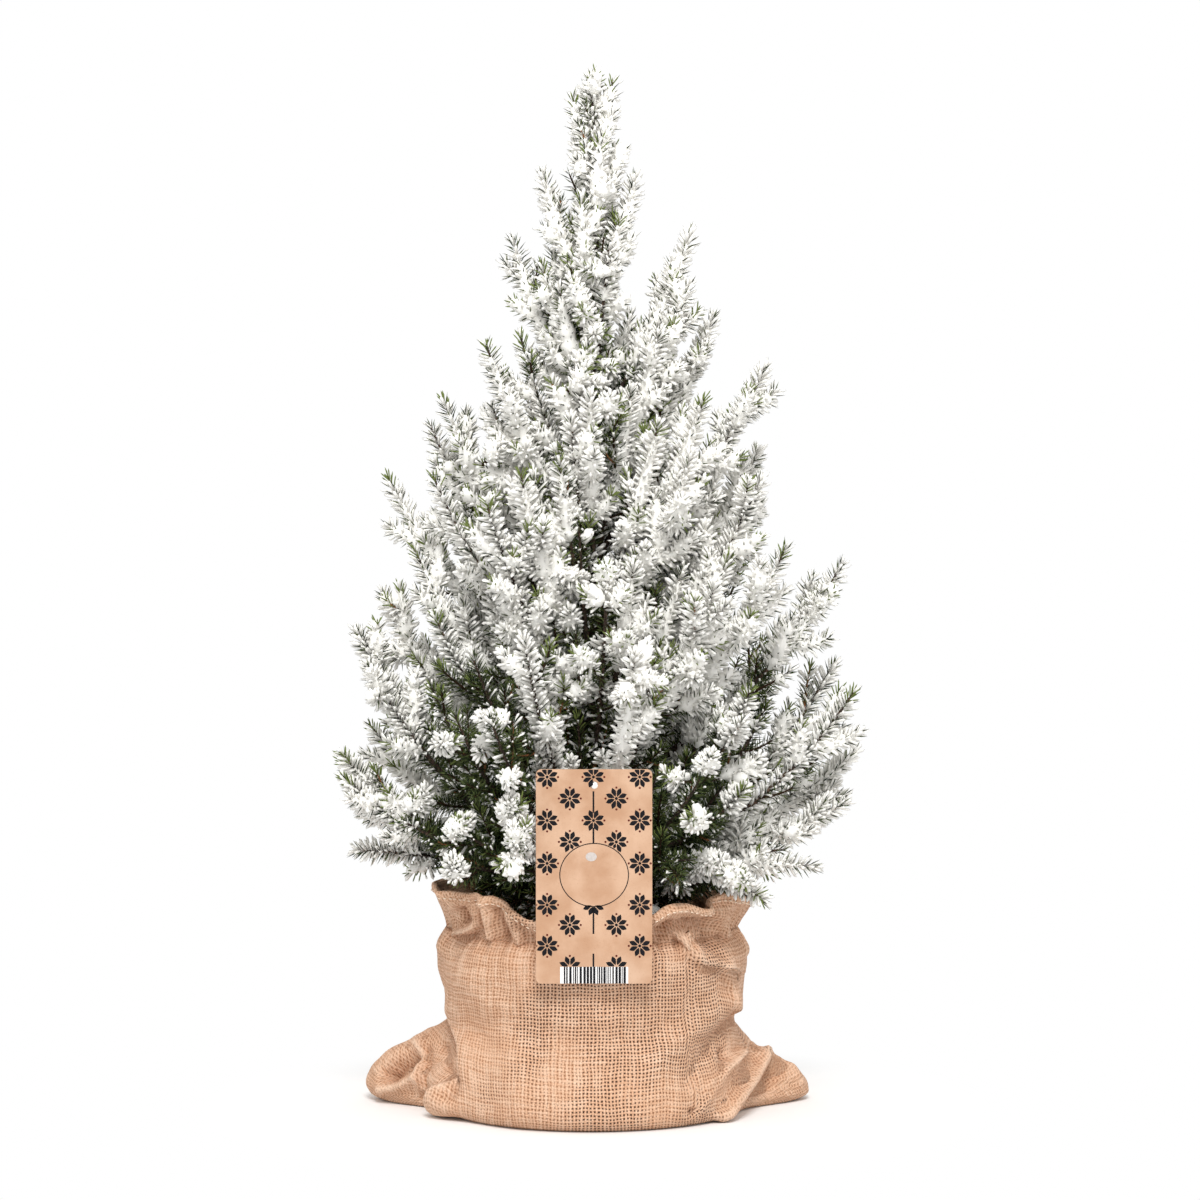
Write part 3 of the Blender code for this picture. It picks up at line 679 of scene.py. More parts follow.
columns = {name: [] for name in ("place", "aim", "out", "size", "snow", "end", "fresh")}
dice = np.random.default_rng(GROWTH_SEED + 1)
for shoot in shoots:
    if shoot.needled == 0:
        continue
    tail = min(shoot.length, shoot.needled)
    middle = shoot.line[len(shoot.line) // 2]
    shaded = any(within(middle, *part) for part in SHELTERED)
    more = SHADED_FULLNESS if shaded else 1.0
    count = max(FEWEST_NEEDLES, int(tail * NEEDLES_PER_METRE * shoot.fullness * more))
    share = (np.arange(count) + dice.uniform(0.3, 0.7, count)) / count
    distance = shoot.length - tail + tail * share
    place, ahead = shoot.at(distance)
    across = unit(np.cross(ahead, UP + 0.01))
    over = np.cross(across, ahead)
    turn = (GOLDEN_ANGLE * np.arange(count) + dice.normal(0, 0.12, count))[:, None]
    out = np.cos(turn) * across + np.sin(turn) * over
    near_tip = np.clip(1 - (shoot.length - distance) / TIP_TUFT, 0, 1)
    sweep = dice.normal(SWEEP, 6) - TIP_SWEEP * near_tip + dice.normal(0, 4, count)
    sweep = np.radians(sweep)[:, None]
    aim = unit(np.cos(sweep) * ahead + np.sin(sweep) * out + 0.10 * UP)
    size = NEEDLE_LENGTH * (1 - 0.22 * near_tip) * dice.uniform(0.90, 1.08, count)
    columns["place"].append(place)
    columns["aim"].append(aim)
    columns["out"].append(unit(out + 0.5 * UP))
    columns["size"].append(size)
    columns["snow"].append(np.full(count, shoot.snow))
    columns["end"].append(shoot.length - distance)
    columns["fresh"].append(np.full(count, dice.random() < 0.46))
places, aims, outs, sizes, snows, ends, tips = [np.concatenate(rows) for rows in columns.values()]
reached = exposure(places)
sheltered = np.zeros(len(places), bool)
for middle, half in SHELTERED:
    sheltered |= within(places, middle, half)
sheltered &= snows < 1.0
share_coated = np.ones(len(places))
# painted light and shade, in part: some parts get more snow so they read lighter, some less so they read
# darker
for middle, half, coating, further in SNOW_AND_PAINTED_LIGHT_ZONES:
    inside = within(places, middle, half)
    share_coated[inside] = coating
    reached[inside] = np.clip(reached[inside] * further, 0, 1)
# the needles in the dark gaps keep almost no snow, so that the gaps read dark: painted shade
for middle, half in HOLLOWS:
    share_coated[within(places, middle, half) & (snows < 1.0)] = STRAY_SNOW
away = unit(places * np.array((1, 1, 0)) + 1e-6)
facing = np.clip(0.5 + 0.5 * np.sum(outs * unit(0.8 * away + 0.6 * UP), axis=1), 0, 1)
chance = snows * share_coated * np.clip((reached - 0.40) / 0.24, 0, 1) * (0.72 + 0.50 * facing)
chance[sheltered] *= STRAY_SNOW
fresh = tips & (ends < FRESH_TUFT) & (reached > 0.35) & (dice.random(len(places)) < 0.6)
fresh &= ~sheltered | (dice.random(len(places)) < 0.5)
coated = ~fresh & (dice.random(len(places)) < chance)
ends_at = places + sizes[:, None] * aims
in_card = ends_at[:, 1] < LABEL_HIGH.y + 0.0015
for i in (0, 2):
    in_card &= (ends_at[:, i] > LABEL_LOW[i] - 0.001) & (ends_at[:, i] < LABEL_HIGH[i] + 0.001)
coated &= ~in_card
fresh &= ~in_card
hidden = in_card | (~coated & ~sheltered & (reached < 0.30) & (dice.random(len(places)) < 0.70))
dark = ~(coated | fresh | hidden)


def made_object(name, shape, smooth=False, finish=None):
    """Turns a finished bmesh into an object."""
    mesh = bpy.data.meshes.new(name)
    shape.to_mesh(mesh)
    shape.free()
    if smooth:
        mesh.shade_smooth()
    if finish:
        mesh.materials.append(finish)
    return put(name, mesh)


def spindle(name, rings, sides, twist=0.5):
    """A closed needle one unit long on +Z, by rings of (height, radius); a ring at 0 is flat."""
    shape = bmesh.new()
    rows = []
    for number, (height, radius) in enumerate(rings):
        angles = [math.tau * ((i + twist * number) / sides + 0.25) for i in range(sides)]
        round_spots = [(radius * math.cos(angle), radius * math.sin(angle)) for angle in angles]
        rows.append([shape.verts.new((*spot, height)) for spot in round_spots])
    tip = shape.verts.new((0, 0, 1))
    if rings[0][0] > 0:
        foot = shape.verts.new((0, 0, 0))
    else:
        shape.faces.new(rows[0])
    for i in range(sides):
        j = (i + 1) % sides
        if rings[0][0] > 0:
            shape.faces.new((foot, rows[0][j], rows[0][i]))
        shape.faces.new((rows[-1][i], rows[-1][j], tip))
        for low, high in zip(rows, rows[1:]):
            shape.faces.new((low[i], low[j], high[i]))
            shape.faces.new((low[j], high[j], high[i]))
    bmesh.ops.recalc_face_normals(shape, faces=shape.faces)
    return made_object(name, shape, smooth=True)


def turns(aims, outs):
    """Quaternions that take +Z to each aim and +Y as near as may be to each out."""
    across = unit(np.cross(outs, aims))
    over = np.cross(aims, across)
    m = np.stack((across, over, aims), axis=2)
    w = np.sqrt(np.maximum(0, 1 + m[:, 0, 0] + m[:, 1, 1] + m[:, 2, 2])) / 2
    x = np.sqrt(np.maximum(0, 1 + m[:, 0, 0] - m[:, 1, 1] - m[:, 2, 2])) / 2
    y = np.sqrt(np.maximum(0, 1 - m[:, 0, 0] + m[:, 1, 1] - m[:, 2, 2])) / 2
    z = np.sqrt(np.maximum(0, 1 - m[:, 0, 0] - m[:, 1, 1] + m[:, 2, 2])) / 2
    x = np.copysign(x, m[:, 2, 1] - m[:, 1, 2])
    y = np.copysign(y, m[:, 0, 2] - m[:, 2, 0])
    z = np.copysign(z, m[:, 1, 0] - m[:, 0, 1])
    return np.stack((w, x, y, z), axis=1)


spray_tree, entry = new_tree("set_needles", Needle="Object", Finish="Material")
needle_shape = add(spray_tree, "GeometryNodeObjectInfo", Object=entry["Needle"]).outputs["Geometry"]
sockets = {
    "Points": entry["Geometry"], "Instance": needle_shape,
    "Rotation": named_values(spray_tree, "turn", "QUATERNION"),
    "Scale": named_values(spray_tree, "stretch", "FLOAT_VECTOR"),
}
end_tree(spray_tree, add(spray_tree, "GeometryNodeInstanceOnPoints", **sockets), entry["Finish"])


def set_sprays(name, needle, finish, places, aims, outs, stretch, nodes=()):
    """Sets needles at places, in as many pieces as keep each under the limit of triangles."""
    most = int(MOST_TRIANGLES / sum(len(face.vertices) - 2 for face in needle.data.polygons))
    order = np.argsort(places[:, 2])
    pieces = max(1, math.ceil(len(order) / most))
    for number, chosen in enumerate(np.array_split(order, pieces)):
        mesh = bpy.data.meshes.new(name)
        mesh.from_pydata(places[chosen].tolist(), [], [])
        turn = mesh.attributes.new("turn", "QUATERNION", "POINT")
        turn.data.foreach_set("value", turns(aims[chosen], outs[chosen]).ravel())
        size = mesh.attributes.new("stretch", "FLOAT_VECTOR", "POINT")
        size.data.foreach_set("vector", stretch[chosen].ravel())
        label = name if pieces == 1 else f"{name}_{number + 1}"
        piece = run_tree(label, mesh, spray_tree, {"Needle": needle, "Finish": finish})
        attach(piece, "root")
        if nodes:
            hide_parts(*nodes)


foliage_nodes = [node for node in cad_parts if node.startswith("mass_")]
bare_needle = spindle("bare_needle", ((0.45, 1.0),), 3)
tip_needle = spindle("tip_needle", ((0.12, 0.8), (0.80, 0.9)), 3)
coat = spindle("coat", ((0.0, 0.66), (0.82, 0.86)), 3, 0)
# near-black dark green for the needles in the crown's shade, and olive for the same needles where they lie
# open: painted shade and light
dark_green = plain_material("needle_dark_green", (0.018, 0.032, 0.009), 0.6, 0.15)
olive_green = plain_material("needle_olive_green", (0.078, 0.102, 0.030), 0.6, 0.2)
fresh_green = plain_material("needle_fresh_green", (0.150, 0.190, 0.050), 0.6, 0.2)
snow_white = plain_material("snow_white", (0.90, 0.886, 0.846), 0.9)

# bare needles in the shade, and the green edge that shows beneath each coat; a bare needle is the lighter
# olive more often the more open it lies: painted light
edge = coated & (dice.random(len(places)) < np.where(share_coated > 1, 0.40, 0.62))
across = unit(np.cross(outs, aims))
shift = np.where(dice.random(len(places)) < 0.5, -1, 1)[:, None] * across
below = places + 0.00105 * shift + 0.0002 * outs
all_places = np.concatenate((places[dark], below[edge]))
all_aims = np.concatenate((aims[dark], aims[edge]))
all_outs = np.concatenate((outs[dark], outs[edge]))
all_sizes = np.concatenate((sizes[dark], sizes[edge] * 1.06))
radii = np.full(len(all_places), NEEDLE_RADIUS)
stretch = np.stack((radii, radii, all_sizes), 1)
# painted light: bare needles that lie more open are more often olive
painted_light_olive_share = np.concatenate((np.clip(reached[dark] - 0.15, 0, 0.62), np.full(edge.sum(), 0.35)))
olive = dice.random(len(all_places)) < painted_light_olive_share
for name, colour, chosen in (("needles_green", dark_green, ~olive), ("needles_olive", olive_green, olive)):
    set_sprays(
        name, bare_needle, colour, all_places[chosen], all_aims[chosen], all_outs[chosen],
        stretch[chosen], foliage_nodes,
    )
stretch = np.stack((np.full(fresh.sum(), NEEDLE_RADIUS * 1.25),) * 2 + (sizes[fresh],), 1)
set_sprays("needles_fresh", tip_needle, fresh_green, places[fresh], aims[fresh], outs[fresh], stretch)
width = COAT_RADIUS * dice.uniform(0.85, 1.4, coated.sum())
stretch = np.stack((width, width * dice.uniform(0.7, 1.0, coated.sum()), sizes[coated]), 1)
set_sprays("snow_on_needles", coat, snow_white, places[coated], aims[coated], outs[coated], stretch)

# specks of snow caught on bare needles
speckled = dark & (reached > 0.35) & (dice.random(len(places)) < np.where(sheltered, 0.06, 0.15))
count = speckled.sum()
spots = places[speckled] + (sizes[speckled] * dice.uniform(0.3, 0.8, count))[:, None] * aims[speckled]
stretch = np.stack((np.full(count, SPECK_RADIUS),) * 2 + (SPECK_LENGTH * dice.uniform(0.6, 1.3, count),), 1)
set_sprays("snow_specks", coat, snow_white, spots, aims[speckled], outs[speckled], stretch)

# the snow that fills each coated shoot round its stem, on the side that faces the spray
CORE_RADIUS = 0.0047
CORE_STEP = 0.0030
core_points = []
core_thickness = []
for shoot in shoots:
    tail = min(shoot.length, shoot.needled)
    steps = max(4, int(tail / CORE_STEP))
    share = np.linspace(0.04, 0.93, steps)
    place, ahead = shoot.at(shoot.length - tail + tail * share)
    open_share = np.clip((exposure(place) - 0.40) / 0.25, 0, 1)
    if shoot.snow < 1.0:
        # thin snow cores in the sheltered parts, and in the dark gaps as painted shade
        for middle, half in SHELTERED + HOLLOWS:
            open_share[within(place, middle, half)] *= 0.1
    stem_shows = 0.32 if abs(place[:, 0].mean()) > 0.055 else 0.12
    if shoot.snow < 0.5 or open_share.mean() < 0.42 or dice.random() < stem_shows:
        continue
    away = unit(place * np.array((1, 1, 0)) + 1e-6)
    lift = unit(0.6 * away + 0.8 * UP)
    taper = np.clip(share / 0.15, 0.25, 1) * np.clip((1 - share) / 0.35, 0.12, 1)
    lump = dice.uniform(0.55, 1.25, steps)
    radius = CORE_RADIUS * taper * lump * open_share + 0.0003
    core_points.append(place + 0.35 * radius[:, None] * lift)
    core_thickness.append(radius)
snow_cores = run_tree(
    "snow_cores", line_mesh("snow_cores", core_points, core_thickness), wood_tree,
    {"Sides": 6, "Relief": 0.0, "Grain": 1.0, "Bark": snow_white},
)
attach(snow_cores, "root")

# rounded pads where snow has built up along the upper and outer side of a shoot
pad_shape = bmesh.new()
bmesh.ops.create_icosphere(pad_shape, subdivisions=2, radius=1.0)
pad = made_object("pad", pad_shape, smooth=True)
for vertex in pad.data.vertices:
    vertex.co *= 1 + 0.45 * noise.noise(vertex.co * 1.9 + Vector((5, 1, 3)))
pad_places = []
pad_aims = []
pad_outs = []
pad_sizes = []
for shoot in shoots:
    if shoot.order == 1 or shoot.length < 0.012:
        continue
    middle, ahead = shoot.at(0.5 * shoot.length)
    open_share = float(exposure(middle)[0]) * shoot.snow
    shaded = shoot.snow < 1.0 and any(within(middle[0], *part) for part in SHELTERED)
    if shaded or dice.random() > 0.80 * np.clip((open_share - 0.35) / 0.35, 0, 1):
        continue
    count = int(dice.integers(1, 4))
    first = dice.uniform(0.30, 0.80)
    for number in range(count):
        spot, ahead = shoot.at(shoot.length * min(0.92, first + 0.14 * number))
        spot = spot[0]
        ahead = ahead[0]
        away = unit(np.array((spot[0], spot[1], 0.0)) + 1e-6)
        out = unit(0.7 * away + 0.8 * UP + dice.normal(0, 0.35, 3))
        size = dice.uniform(0.0020, 0.0050)
        pad_places.append(spot + out * dice.uniform(0.0020, 0.0040))
        pad_aims.append(unit(ahead + dice.normal(0, 0.2, 3)))
        pad_outs.append(out)
        pad_sizes.append((size, 0.72 * size, size * dice.uniform(1.0, 1.5)))
# and the lump on the hanger's end, which fills the card's hole
HOLE_LUMP = (0.0015, -0.0992, 0.2062)
pad_places.append(HOLE_LUMP)
pad_aims.append((1.0, 0.0, 0.0))
pad_outs.append((0.0, -1.0, 0.0))
pad_sizes.append((0.0040, 0.0028, 0.0040))
set_sprays(
    "snow_pads", pad, snow_white, np.array(pad_places), np.array(pad_aims), np.array(pad_outs),
    np.array(pad_sizes),
)
for needle in (bare_needle, tip_needle, coat, pad):
    bpy.data.objects.remove(needle, do_unlink=True)

# ================================================================ root ball
# Dark peat compost bound by fine roots. It fills the sack to just above the neck, and
# loose crumbs lie on top of it round the stem.
BALL_RADIUS = 0.0835
BALL_FOOT = 0.0045
BALL_COLUMNS = 120
TOP_ROWS = 28
SOIL_LEVEL = 0.1040
SOIL_CROWN = 0.0015
CRUMBS = 620
ball_profile = [(0.0005, BALL_FOOT), (0.045, BALL_FOOT), (BALL_RADIUS - 0.008, BALL_FOOT)]
ball_profile += [(BALL_RADIUS - 0.002, BALL_FOOT + 0.003), (BALL_RADIUS, BALL_FOOT + 0.010)]
ball_profile += [(BALL_RADIUS, 0.03), (BALL_RADIUS, 0.06), (BALL_RADIUS, 0.09)]
ball_profile += [(BALL_RADIUS, SOIL_LEVEL - 0.005), (BALL_RADIUS - 0.001, SOIL_LEVEL - 0.001)]
for number in range(TOP_ROWS):
    radius = (BALL_RADIUS - 0.003) * (1 - number / TOP_ROWS)
    ball_profile.append((radius, SOIL_LEVEL + SOIL_CROWN * (1 - (radius / BALL_RADIUS) ** 2)))
peat = Finish("peat", Roughness=0.95)
place = peat.object_place()
crumb = peat.noise(place, 900.0, 3.0)
damp = peat.noise(place, 120.0, 3.0)
brown = peat.blend(peat.ease(damp, 0.35, 0.70), (0.018, 0.010, 0.007), (0.050, 0.029, 0.018))
peat.set("Base Color", peat.blend(peat.ease(crumb, 0.58, 0.72), brown, (0.13, 0.080, 0.048)))
peat.bump(crumb + damp * 0.5, 0.9, 0.0012)
ball_shape = bmesh.new()
ball_rows = []
for radius, height in ball_profile:
    row = []
    for number in range(BALL_COLUMNS):
        angle = math.tau * number / BALL_COLUMNS
        spot = Vector((radius * math.cos(angle), radius * math.sin(angle), height))
        if height > SOIL_LEVEL - 0.002:
            spot.z += 0.0016 * noise.noise(spot * 90) + 0.0009 * noise.noise(spot * 260)
        row.append(ball_shape.verts.new(spot))
    ball_rows.append(row)
for low, high in zip(ball_rows, ball_rows[1:]):
    for i in range(BALL_COLUMNS):
        j = (i + 1) % BALL_COLUMNS
        ball_shape.faces.new((low[i], low[j], high[j], high[i]))
ball_shape.faces.new(list(reversed(ball_rows[0])))
ball_shape.faces.new(ball_rows[-1])
soil = made_object("soil", ball_shape, smooth=True, finish=peat.material)
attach(soil, "root")
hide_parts("root_ball")

lump_shape = bmesh.new()
bmesh.ops.create_icosphere(lump_shape, subdivisions=1, radius=1.0)
lump = made_object("crumb", lump_shape, smooth=True)
spread = np.sqrt(dice.uniform(0.02, 1, CRUMBS)) * (BALL_RADIUS - 0.003)
turn = dice.uniform(0, math.tau, CRUMBS)
spots = np.stack((spread * np.cos(turn), spread * np.sin(turn), np.full(CRUMBS, SOIL_LEVEL + 0.0014)), 1)
size = dice.uniform(0.0009, 0.0030, CRUMBS)
set_sprays(
    "soil_crumbs", lump, peat.material, spots, unit(dice.normal(0, 1, (CRUMBS, 3))),
    unit(dice.normal(0, 1, (CRUMBS, 3))),
    np.stack((size, size * dice.uniform(0.6, 1, CRUMBS), size * dice.uniform(0.7, 1.3, CRUMBS)), 1),
    ("root_ball",),
)
bpy.data.objects.remove(lump, do_unlink=True)

# ================================================================ sack
# A plain-woven jute bag drawn up round the root ball and gathered at the neck. Its ruffled
# collar has a stitched hem, and its two bottom corners lie out flat as ears.
NECK_HEIGHT = 0.1095
FLOOR_ROWS = 6
BODY_ROWS = 100
COLLAR_ROWS = 34
SACK_COLUMNS = 520
CLOTH_THICKNESS = 0.0014
CLOTH_FLOOR = 0.0004
FOLD_STRENGTH = 1.15
BALL_STOP = 0.0849  # the cloth folds no deeper than this, against the root ball
HEM_DROP = 0.0026  # the hem's middle below the rim
HEM_HALF = 0.0034
HEM_LAYER = 0.0015
CARD_HALF = 0.041  # the collar is pressed flat behind the card, from its lower part up
CARD_LOW = 0.084
CARD_BACK = -0.1008
# half width of the body by share of the neck height
BODY_PROFILE = (
    (0.00, 0.0945), (0.05, 0.0972), (0.17, 0.0968), (0.33, 0.0933), (0.48, 0.0900), (0.68, 0.0943),
    (0.83, 0.0958), (0.93, 0.0935), (0.98, 0.0885), (1.00, 0.0862),
)
COLLAR_PROFILE = ((0.00, 0.0862), (0.30, 0.0902), (0.65, 0.0958), (1.00, 0.0990))
# how far each ear reaches from the middle, by height; and the degrees it points
LEFT_EAR = (
    (0.0000, 0.1315), (0.0023, 0.1375), (0.0066, 0.1415), (0.0122, 0.1425), (0.0171, 0.1402),
    (0.0239, 0.1345), (0.0295, 0.1280), (0.0363, 0.1155), (0.0419, 0.1060), (0.0481, 0.0945),
    (0.0560, 0.0850),
)
RIGHT_EAR = (
    (0.0000, 0.1290), (0.0025, 0.1355), (0.0075, 0.1375), (0.0140, 0.1338), (0.0227, 0.1240),
    (0.0285, 0.1153), (0.0330, 0.1050), (0.0425, 0.0955), (0.0500, 0.0900), (0.0560, 0.0850),
)
EARS = ((172, LEFT_EAR), (9, RIGHT_EAR))
EAR_SHARPNESS = 34
# height of the rim round the sack, by degrees
RIM_LINE = (
    (0, 0.1290), (20, 0.1340), (60, 0.1360), (100, 0.1325), (140, 0.1360), (175, 0.1370),
    (195, 0.1392), (222, 0.1376), (236, 0.1372), (241, 0.1337), (247, 0.1250), (252, 0.1230),
    (268, 0.1220), (284, 0.1245), (291, 0.1310), (296, 0.1352), (303, 0.1362), (314, 0.1325),
    (320, 0.1372), (333, 0.1352), (348, 0.1310), (360, 0.1290),
)
# folds, in millimetres: height, width to the left of the line as it runs, width to the
# right, how rounded the crest is (2 soft, 1 crisp), and the line's points across and up
FOLDS = (
    (5.5, 11, 1.2, 1.6, ((52.1, 109.5), (56.9, 102.6), (63.6, 96.8), (71.6, 94.6), (77.5, 91.8))),
    (3.6, 6, 1.2, 1.5, ((76.5, 92.0), (80.7, 86.9), (82.9, 77.8), (84.1, 66.6))),
    (3.5, 3, 2, 1.2, ((50.1, 121.2), (52.1, 115.2), (53.3, 107.7))),
    (4.5, 3.5, 3, 1.5, ((-71.4, 117.5), (-78.7, 113.6), (-86.0, 106.8), (-91.3, 99.4))),
    (-3.5, 2.5, 2.5, 1.3, ((-70.9, 111.2), (-78.5, 105.0), (-84.5, 96.8))),
    (6.0, 10, 2.0, 1.8, ((-84.7, 62.6), (-79.5, 49.9), (-76.5, 42.7), (-75.6, 35.6), (-78.7, 26.8),
                         (-86.7, 17.6), (-92, 8))),
    (6.5, 8, 8, 2.0, ((-93.0, 19.3), (-88.0, 12.1))),
    (-5.5, 2.6, 3.2, 1.5, ((-90.0, 56.0), (-84.0, 45.0), (-81.0, 34.0), (-79.0, 24.0), (-82.0, 14.0))),
    (-11.0, 4.5, 4.5, 2.0, ((-111.0, 30.6), (-119.4, 24.1), (-126.3, 18.4))),
    (3.0, 2.4, 2.4, 1.4, ((-107.1, 38.0), (-121.4, 29.6), (-133.0, 19.0))),
    (5.0, 3.0, 3.0, 1.6, ((-107.2, 18.2), (-118.5, 12.2), (-130.6, 9.2))),
    (4.0, 3.0, 3.0, 1.5, ((-107.9, 33.4), (-106.3, 20.4), (-104.6, 12.6))),
    (-4.6, 2.4, 2.4, 1.2, ((-103.0, 36.4), (-101.3, 24.4), (-104.6, 6.6))),
    (-4.0, 3.0, 3.0, 1.3, ((-93.0, 40.4), (-88.3, 29.4), (-84.6, 24.6))),
    (-6.5, 2.2, 2.2, 1.2, ((81.3, 40.2), (81.9, 33.3))),
    (6.5, 4, 2.2, 1.6, ((89.5, 35.6), (82.5, 31.6), (74.1, 25.1), (68.4, 19.2), (63.4, 12.3))),
    (-5.5, 2.4, 2.4, 1.4, ((79.3, 29.7), (69.7, 20.2), (61.1, 9.9))),
    (6.5, 6.0, 3.0, 1.8, ((104.6, 27.3), (95.1, 19.1), (85.9, 11.8), (76.7, 3.2))),
    (-12.0, 3, 2.2, 1.5, ((106.6, 12.4), (97.8, 10.6), (90.5, 5.2))),
    (-6.5, 6, 6, 2.0, ((115.0, 22.9), (110.3, 18.2))),
    (3.0, 3, 3, 1.5, ((101.0, 31.0), (113.3, 29.0), (124.3, 21.2), (130, 12))),
    (4.4, 9, 9, 2.0, ((81.9, 68.1), (58.8, 54.8), (37.5, 40.5))),
    (-3.0, 6, 6, 1.8, ((84.9, 56.1), (68.8, 42.8), (57.5, 28.5))),
    (2.8, 12, 12, 2.0, ((-73.5, 83.0), (-55.1, 57.7), (-42.8, 18.2))),
    (-2.6, 10, 10, 2.0, ((-19.0, 78.5), (-1.2, 72.8), (28.5, 78.2))),
    (-5.0, 2.6, 2.6, 1.5, ((-68.8, 133.5), (-67.2, 126.1), (-66.2, 114.8))),
    (4.0, 3.2, 3.2, 1.6, ((-63.9, 134.2), (-61.0, 124.8), (-58.8, 115.0))),
    (-5.0, 2.6, 2.6, 1.4, ((-56.4, 129.5), (-52.9, 122.7), (-49.6, 113.3))),
    (3.6, 3.0, 3.0, 1.6, ((-48.6, 127.9), (-43.9, 119.8), (-41.6, 112.1))),
    (-4.0, 3.0, 3.0, 1.6, ((-42.0, 121.0), (-37.0, 116.0), (-33.0, 113.0))),
    (-9.0, 3.4, 3.0, 1.8, ((-79.8, 125.5), (-76.2, 119.6))),
    (4.4, 3, 3, 1.5, ((-91.2, 139.3), (-83.5, 130.2), (-76.1, 116.6))),
    (-7.5, 3.6, 3.4, 1.8, ((36.7, 113.2), (45.3, 120.6), (55.6, 121.4), (65.5, 119.6))),
    (5.5, 4.5, 4.5, 2.0, ((36.0, 127.6), (45.1, 131.9), (56.0, 133.0), (68.3, 130.2))),
    (-4.8, 2.2, 2.2, 1.4, ((72.6, 131.9), (69.2, 121.1), (66.3, 109.8))),
    (4.0, 4, 4, 1.8, ((87.2, 137.7), (78.4, 125.8), (78.1, 113.2))),
    (-3.0, 3, 3, 1.6, ((61.0, 108.0), (70.0, 104.0), (76.0, 98.0))),
    (3.4, 4, 4, 1.8, ((81.0, 110.0), (87.5, 104.5), (91.5, 98.0))),
)


def smooth_line(table, x):
    """Interpolates a table of (x, y) with a smooth cubic."""
    xs = np.array([row[0] for row in table], float)
    ys = np.array([row[1] for row in table], float)
    slopes = np.gradient(ys, xs)
    i = np.clip(np.searchsorted(xs, x) - 1, 0, len(xs) - 2)
    h = xs[i + 1] - xs[i]
    t = np.clip((x - xs[i]) / h, 0, 1)
    return (
        (2 * t**3 - 3 * t**2 + 1) * ys[i]
        + (t**3 - 2 * t**2 + t) * h * slopes[i]
        + (-2 * t**3 + 3 * t**2) * ys[i + 1]
        + (t**3 - t**2) * h * slopes[i + 1]
    )


def fold_height(x, z, height, left, right, rounding, line):
    """Height of one fold at points given in millimetres across and up."""
    best = np.full(x.shape, 1e9)
    side = np.zeros(x.shape)
    for (ax, az), (bx, bz) in zip(line, line[1:]):
        dx, dz = bx - ax, bz - az
        share = np.clip(((x - ax) * dx + (z - az) * dz) / (dx * dx + dz * dz), 0, 1)
        apart = np.hypot(x - ax - share * dx, z - az - share * dz)
        over = np.sign(dx * (z - az) - dz * (x - ax))
        nearer = apart < best
        best[nearer] = apart[nearer]
        side[nearer] = over[nearer]
    width = np.where(side > 0, left, right)
    return height * np.exp(-((best / width) ** rounding))


def surface_normals(grid):
    """Outward normals of a grid of points that closes round on itself."""
    along = np.roll(grid, -1, axis=1) - np.roll(grid, 1, axis=1)
    up = np.gradient(grid, axis=0)
    normal = np.cross(along, up)
    length = np.linalg.norm(normal, axis=2, keepdims=True)
    return normal / np.maximum(length, 1e-12)


def body_radius(degrees, height):
    """Distance of the cloth from the middle, ears and all, below the neck."""
    radius = smooth_line(BODY_PROFILE, np.full(degrees.shape, height / NECK_HEIGHT))
    radius = radius - 0.0035 * max(0.0, 1 - height / 0.005) ** 2
    cosines = np.cos(np.radians(degrees))
    waist = math.exp(-(((height - 0.057) / 0.018) ** 2))
    radius = radius - 0.0040 * waist * np.clip(-cosines, 0, 1) ** 3
    sag = math.exp(-(((height - 0.010) / 0.030) ** 2))
    radius = radius + 0.0085 * sag * np.clip(-np.sin(np.radians(degrees)), 0, 1) ** 0.9
    body = radius.copy()
    for heading, table in EARS:
        toward = np.clip(np.cos(np.radians(degrees - heading)), 0, 1)
        reach = smooth_line(table, np.full(degrees.shape, height))
        radius = radius + np.maximum(0, reach - body) * toward**EAR_SHARPNESS
    return radius


# columns stand closer where the ears turn
even = np.linspace(0, 360, 1441)
low = body_radius(90 + even, 0.014)
low_x = low * np.cos(np.radians(90 + even))
low_y = low * np.sin(np.radians(90 + even))
run = np.concatenate(((0,), np.cumsum(np.hypot(np.diff(low_x), np.diff(low_y)))))
run = 0.7 * run / run[-1] + 0.3 * even / 360
azimuth = 90 + np.interp(np.arange(SACK_COLUMNS) / SACK_COLUMNS, run, even)
azimuth = azimuth % 360
turn = np.radians(azimuth)
cosine = np.cos(turn)
sine = np.sin(turn)
rim = smooth_line(RIM_LINE, azimuth)
rows = []
for number in range(FLOOR_ROWS):
    radius = (0.02 + 0.95 * number / FLOOR_ROWS) * body_radius(azimuth, 0.0)
    rows.append(np.stack((radius * cosine, radius * sine, np.full(SACK_COLUMNS, CLOTH_FLOOR)), 1))
for number in range(BODY_ROWS):
    height = max(CLOTH_FLOOR, NECK_HEIGHT * (number / (BODY_ROWS - 1)) ** 0.95)
    radius = body_radius(azimuth, height)
    rows.append(np.stack((radius * cosine, radius * sine, np.full(SACK_COLUMNS, height)), 1))
for number in range(1, COLLAR_ROWS + 1):
    share = number / COLLAR_ROWS
    height = NECK_HEIGHT + share * (rim - NECK_HEIGHT)
    radius = smooth_line(COLLAR_PROFILE, np.full(SACK_COLUMNS, share))
    ruffle = np.sin(9 * turn + 1.0) + 0.7 * np.sin(14 * turn + 2.2) + 0.5 * np.sin(5 * turn)
    radius = radius + 0.0011 * share * ruffle
    rows.append(np.stack((radius * cosine, radius * sine, height), 1))
sack_grid = np.array(rows)

NECK_ROW = FLOOR_ROWS + BODY_ROWS - 1
FRONT_COLUMN = int(np.argmin(np.abs(azimuth - 270)))
